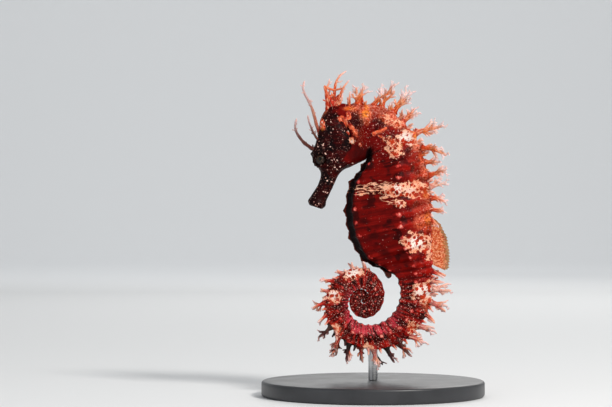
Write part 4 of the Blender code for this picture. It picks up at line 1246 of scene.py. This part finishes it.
def nubs(loops, each, seed):
    """Short buds that stand out from threads at random, `each` to a thread, longer on thick stretches."""
    rng = np.random.default_rng(seed)
    paths, aside, out, radius, tone = loops
    count, places = radius.shape
    row = np.repeat(np.arange(count), each)
    column = rng.integers(places // 4, places - 3, len(row))
    turn = rng.uniform(0, 2 * math.pi, len(row))[:, None]
    across, thick = np.cos(turn) * aside[row, column] + np.sin(turn) * out[row, column], radius[row, column]
    along = unit(paths[row, column + 1] - paths[row, column])
    way = across + along * rng.uniform(0.3, 1.3, len(row))[:, None]
    length = 0.5 + thick * rng.uniform(1.0, 2.2, len(row))
    radii = np.stack([thick * 0.45, 0.11 + thick * 0.10], axis=1)
    tones = np.stack([tone[row, column], np.minimum(tone[row, column] + 0.3, 1.0)], axis=1)
    bend = rng.uniform(-0.4, 0.4, len(row))
    return Strands(paths[row, column], way, along + 0.3 * out[row, column], bend, length, radii, tones), row


def mirrored(rows):
    """The rows' threads on the other side of the head."""
    return tuple((tuple((x, -y, z) for x, y, z in row[0]), *row[1:]) for row in rows)


def make_threads(name, rows, dusk, blush, fade, flat, each, seed, material):
    """Threads as a piece of their own, with `each` buds on every one of them."""
    loops = thread_loops(rows, fade, flat)
    buds, owner = nubs(loops, each, seed)
    plain = np.zeros(len(dusk) + len(owner))
    marks = {"dusk": np.concatenate([dusk, dusk[owner]]), "blush": plain + blush, "pale": plain}
    joined_tubes(name, [loops, buds.loops()], material, marks, sides=THREAD_SIDES)


def make_crown(material):
    """The coronet: a sheet of fused ribs with a ragged top, which the threads run up and part above."""
    rows, around = 40, 96
    u, turn = np.linspace(0, 1, rows)[:, None], -np.arange(around) * 2 * math.pi / around
    ribs = 1 + 0.13 * np.cos(9 * turn + 0.6) + 0.07 * np.cos(17 * turn + 2)
    wide, deep = 1.95 - 0.15 * ramp(u, 0, 0.5), 1.3 - 0.3 * ramp(u, 0, 0.35)
    closing = 1 - 0.9 * ramp(u, 0.86, 1.0)
    x, y, z = CROWN_FOOT
    across, aside = -wide * ribs * closing * np.cos(turn), -deep * ribs * closing * np.sin(turn)
    ragged = 1 + 0.22 * lattice_noise(np.stack([across * 1.3, aside, 0 * across], axis=-1), 32)
    rise = CROWN_RISE * np.minimum(u / 0.86, 1) * (1 + (ragged - 1) * u) - 1.3 * ramp(u, 0.90, 1.0)
    points = np.stack([x + across, y + aside, z + rise], axis=-1)
    points = points + 0.26 * lattice_noise(points / 0.6, 31)[..., None] * (1, 1, 0)
    marks = {"along": -0.12 + 0.50 * u, "turn_x": np.cos(turn * 2) * 1.5, "turn_y": np.sin(turn * 2) * 1.5}
    marks |= {"dusk": 0.0, "blush": 0.9, "pale": 0.0}
    make_closed_piece("crown_stalk", ("coronet",), points, material, "frond", marks)


# ------------------------------------------------------------------------------------------------- eyes


def make_eye(name, side, material):
    """An eyeball of polar rows round its gaze, which turns a little forwards and up. The clear front stands
    slightly proud of the ball. The marks across and upward are the place on the front half, from -1 to 1."""
    low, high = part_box(name)
    centre = np.array((low + high) / 2) / MM
    rows, around = 44, 72
    polar = np.linspace(0.02, math.pi - 0.02, rows)[:, None]
    turn = -np.arange(around) * 2 * math.pi / around
    gaze = unit(np.array((-0.28, side, 0.10)))
    level = unit(np.cross(gaze, (0.0, 0.0, 1.0)))
    upward = np.cross(level, gaze)
    across, raised = np.sin(polar) * np.cos(turn), np.sin(polar) * np.sin(turn)
    way = np.cos(polar)[..., None] * gaze + across[..., None] * level + raised[..., None] * upward
    radius = EYE_RADIUS * (1 + 0.05 * hill(polar, 0.55))
    front = np.cos(polar) > 0
    marks = {"across": np.where(front, across, 1.0), "upward": np.where(front, raised, 1.0)}
    make_closed_piece(name + "ball", (name,), centre + way * radius[..., None], material, "eye", marks)


# ------------------------------------------------------------------------------------------------- fins

ACROSS = np.array((0.0, 1.0, 0.0))


def fin_grid(feet, tips, normal, rays, ripple, phase):
    """A thin fin as a closed band of points, out along one face and back along the other, with its ray and
    its out grids: 1 on a ray, and 1 at the edge. The rays are thicker than the skin between them, the edge
    is scalloped between rays, and the fin ripples out of its plane. The first face is on the side from
    which the band turns outwards."""
    count, out = len(feet), 22
    a = np.linspace(0, 1, count)[:, None]
    b = np.concatenate([np.linspace(0, 1, out), np.linspace(1, 0, out + 1)[1:-1]])
    middle = count // 2
    first = np.sign(np.cross(feet[-1] - feet[0], tips[middle] - feet[middle]) @ normal)
    face = np.repeat((first, -first), (out, out - 1))
    ray = np.abs(np.cos(a * math.pi * rays)) ** 5
    reach = b * (1 - 0.05 * (1 - ray) * b**4)
    thick = (0.045 + 0.075 * ray) * (1 - 0.75 * b) * np.where(b > 0.999, 0.1, 1)
    wave = ripple * b * (np.sin(a * 7.3 + phase + 2 * b) + 0.35 * np.sin(a * 17 + phase * 2))
    move = (thick * face + wave)[..., None] * normal
    return feet[:, None] + (tips - feet)[:, None] * reach[..., None] + move, ray, b


def make_fin(name, grid, material, body, dark):
    """A fin piece. body is how much of it is as solid and netted as the back beside it, and dark how far its
    colour is lowered to a deep red."""
    points, ray, out = grid
    lace = patches(points[..., 0], points[..., 2], LACE, patch_warp(points)) * body
    marks = {"ray": ray, "out": out, "lace": lace, "body": body, "dark": dark}
    make_closed_piece(name + "_skin", (name,), points, material, "fin", marks)


def smooth_rows(values, reach=9):
    """Each row's mean with its neighbours, so that the foot of a fin doesn't follow every knob."""
    padded = np.pad(values, ((reach, reach), (0, 0)), mode="edge")
    kernel = np.hanning(2 * reach + 1)
    kernel = kernel / kernel.sum()
    return np.stack([np.convolve(column, kernel, "valid") for column in padded.T], axis=1)


def make_dorsal_fin(skin, material):
    """The fin on the back over the trunk's last rings."""
    rings = np.linspace(6.6, 11.2, 172)
    along = np.linspace(0, 1, len(rings))
    feet, normal = skin.root(rings, np.full(len(rings), 4.0))
    feet = smooth_rows(feet) - unit(smooth_rows(normal)) * 0.3
    reach = np.interp(along, (0, 0.12, 0.35, 0.6, 0.9, 1), (1.6, 3.9, 5.4, 6.0, 5.6, 4.4))
    tips = feet + way_of(-10 - 14 * along, 0, 1) * reach[:, None]
    grid = fin_grid(feet, tips, ACROSS, rays=18, ripple=0.28, phase=0.4)
    make_fin("dorsal_fin", grid, material, body=1.0, dark=0.0)


def make_pectoral_fin(name, side, material):
    """The small fan behind the gill slit."""
    low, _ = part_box(name)
    along = np.linspace(0, 1, 150)
    bow = np.sin(along * math.pi)
    foot_x = low.x / MM + 0.35
    feet = np.stack([foot_x - 0.8 * bow, side * (3.75 + 0 * along), 69.3 - 3.2 * along], axis=1)
    tips = feet + way_of(58 - 112 * along, 20, side) * (3.3 * (0.88 + 0.12 * bow))[:, None]
    middle = len(along) // 2
    normal = unit(np.cross(tips[middle] - feet[middle], feet[0] - feet[-1])) * side
    grid = fin_grid(feet, tips, normal, rays=15, ripple=0.10, phase=side * 0.8)
    make_fin(name, grid, material, body=0.0, dark=0.6)


def make_anal_fin(material):
    """The tiny fin at the vent."""
    along = np.linspace(0, 1, 60)[:, None]
    feet = (1 - along) * (3.0, 0.0, 32.9) + along * (4.9, 0.0, 32.0)
    tips = feet + (0.45 + 0.55 * np.sin(math.pi * along) ** 0.7) * (-0.1, 0.0, -1.95)
    grid = fin_grid(feet, tips, ACROSS, rays=5, ripple=0.05, phase=0.0)
    make_fin("anal_fin", grid, material, body=1.0, dark=0.92)


# ------------------------------------------------------------------------------------------------ stand


def turned_grid(profile, around):
    """Points of a profile of (radius, height) turned round the Z axis, from its bottom up."""
    radius, height = np.array(profile, float).T[..., None]
    turn = np.arange(around) * 2 * math.pi / around
    return np.stack([radius * np.cos(turn), radius * np.sin(turn), height + 0 * turn], axis=-1)


def rounded_profile(radius, low, high, edge, steps=7):
    """(radius, height) up the outside of a disc or rod whose edges are quarter circles."""
    turn = np.linspace(0, math.pi / 2, steps)
    lower = np.stack([radius - edge + edge * np.sin(turn), low + edge - edge * np.cos(turn)], axis=1)
    upper = np.stack([radius - edge + edge * np.cos(turn), high - edge + edge * np.sin(turn)], axis=1)
    inner = np.array([0.02, 0.4, 0.8])[:, None] * (radius - edge, 0)
    return np.concatenate([inner + (0, low), lower, upper, inner[::-1] + (0, high)])


def make_stand_piece(node, edge, around, material, slot):
    """A disc or rod on the Z axis with the size of its solid, and its edges rounded by `edge`."""
    low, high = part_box(node)
    grid = turned_grid(rounded_profile(high.x / MM, low.z / MM, high.z / MM, edge), around)[::-1]
    make_closed_piece(node + "_finish", (node,), grid, material, slot, sharp=35)


# ------------------------------------------------------------------------------------------------- stage

CAMERA_AIM = (-17.4, 50.0)
CAMERA_DISTANCE = 600.0
FRAME_WIDTH = 159.1
SENSOR = 36.0


def make_stage(material):
    """A wide pale floor that curves up into a low wall all round, far outside the lights and the camera."""
    turn = np.linspace(0, math.pi / 2, 16)
    bend = np.stack([1300 + 700 * np.sin(turn), 700 - 700 * np.cos(turn)], axis=1)
    profile = np.concatenate([[(2, 0), (300, 0), (800, 0), (1200, 0)], bend, [(2000, 1000)]])
    around = 96
    quads, places = grid_faces(len(profile), around)
    points = np.concatenate([turned_grid(profile, around).reshape(-1, 3), [(0, 0, 0)]])
    j = np.arange(around)
    fan = np.stack([np.full(around, len(points) - 1), j, (j + 1) % around], axis=1)
    uvs = (places[:, ::-1] / (around, len(profile)), np.zeros((around, 3, 2)))
    make_piece("studio_floor", points, (quads[:, ::-1], fan), uvs, material)


def make_light(name, place, size, power, colour=(1.0, 1.0, 1.0), aim=(0.0, 0.0, 45.0)):
    """A square soft light at a place in mm, turned towards the model. The camera doesn't see it."""
    light = bpy.data.lights.new(name, "AREA")
    light.size, light.energy, light.color = size * MM, power, colour
    lamp = bpy.data.objects.new(name, light)
    bpy.context.scene.collection.objects.link(lamp)
    away = np.array(place, float) - np.array(aim, float)
    lamp.location = [v * MM for v in place]
    yaw = math.atan2(away[1], away[0]) + math.pi / 2
    lamp.rotation_euler = (math.acos(away[2] / np.linalg.norm(away)), 0.0, yaw)
    lamp.visible_camera = False


def make_lights():
    """A warm key from the upper right in front, a cool fill from the left, soft light from behind, a wash on
    the wall behind, and a pale sky."""
    make_light("key", (330, -420, 470), 130, 3.7, (1.0, 0.97, 0.93))
    make_light("fill", (-480, -380, 160), 420, 0.5, (0.95, 0.97, 1.0))
    make_light("back", (150, 700, 500), 450, 2.1, (1.0, 0.98, 0.95))
    make_light("wash", (0, 900, 700), 700, 4.0, (1.0, 1.0, 1.0), (0, 2100, 350))
    world = bpy.data.worlds.new("studio")
    world.use_nodes = True
    sky = world.node_tree.nodes["Background"].inputs
    sky["Color"].default_value, sky["Strength"].default_value = (0.95, 0.98, 1.0, 1.0), 0.42
    bpy.context.scene.world = world


def make_camera():
    """Level, square on to the left flank."""
    data = bpy.data.cameras.new("camera")
    data.sensor_width = SENSOR
    data.lens = SENSOR * CAMERA_DISTANCE / FRAME_WIDTH
    camera = bpy.data.objects.new("camera", data)
    camera.location = (CAMERA_AIM[0] * MM, -CAMERA_DISTANCE * MM, CAMERA_AIM[1] * MM)
    camera.rotation_euler = (math.pi / 2, 0.0, 0.0)
    bpy.context.scene.collection.objects.link(camera)
    bpy.context.scene.camera = camera


def main():
    """Makes every piece, then the stage, the lights and the camera."""
    skin = Skin()
    make_skin(skin, make_skin_material())
    frond, fin, eye = make_frond_material(), make_fin_material(), make_eye_material()
    make_fronds(skin, "fronds_back", BACK_FRONDS, seed=101, branchy=1.1, blush=0.6, material=frond)
    make_fronds(skin, "fronds_tail", TAIL_FRONDS, seed=202, branchy=0.62, blush=1.0, material=frond)
    make_threads(
        "brow_threads", BROW_THREADS + mirrored(BROW_THREADS), dusk=np.tile(BROW_DUSK, 2), blush=0.9,
        fade=0.0, flat=0.8, each=4, seed=303, material=frond,
    )
    make_crown(frond)
    make_threads(
        "crown_threads", CROWN_THREADS, dusk=np.zeros(len(CROWN_THREADS)), blush=0.4,
        fade=0.24, flat=0.5, each=2, seed=404, material=frond,
    )
    make_eye("eye_left", -1, eye)
    make_eye("eye_right", 1, eye)
    make_dorsal_fin(skin, fin)
    make_pectoral_fin("pectoral_fin_left", -1, fin)
    make_pectoral_fin("pectoral_fin_right", 1, fin)
    make_anal_fin(fin)
    make_stand_piece("stand_base", 0.7, 160, make_paint_material(), "stand_black")
    make_stand_piece("stand_rod", 0.15, 48, make_steel_material(), "stand_steel")
    make_stage(make_floor_material())
    make_lights()
    make_camera()
    bpy.context.scene.view_settings.view_transform = "Standard"


main()
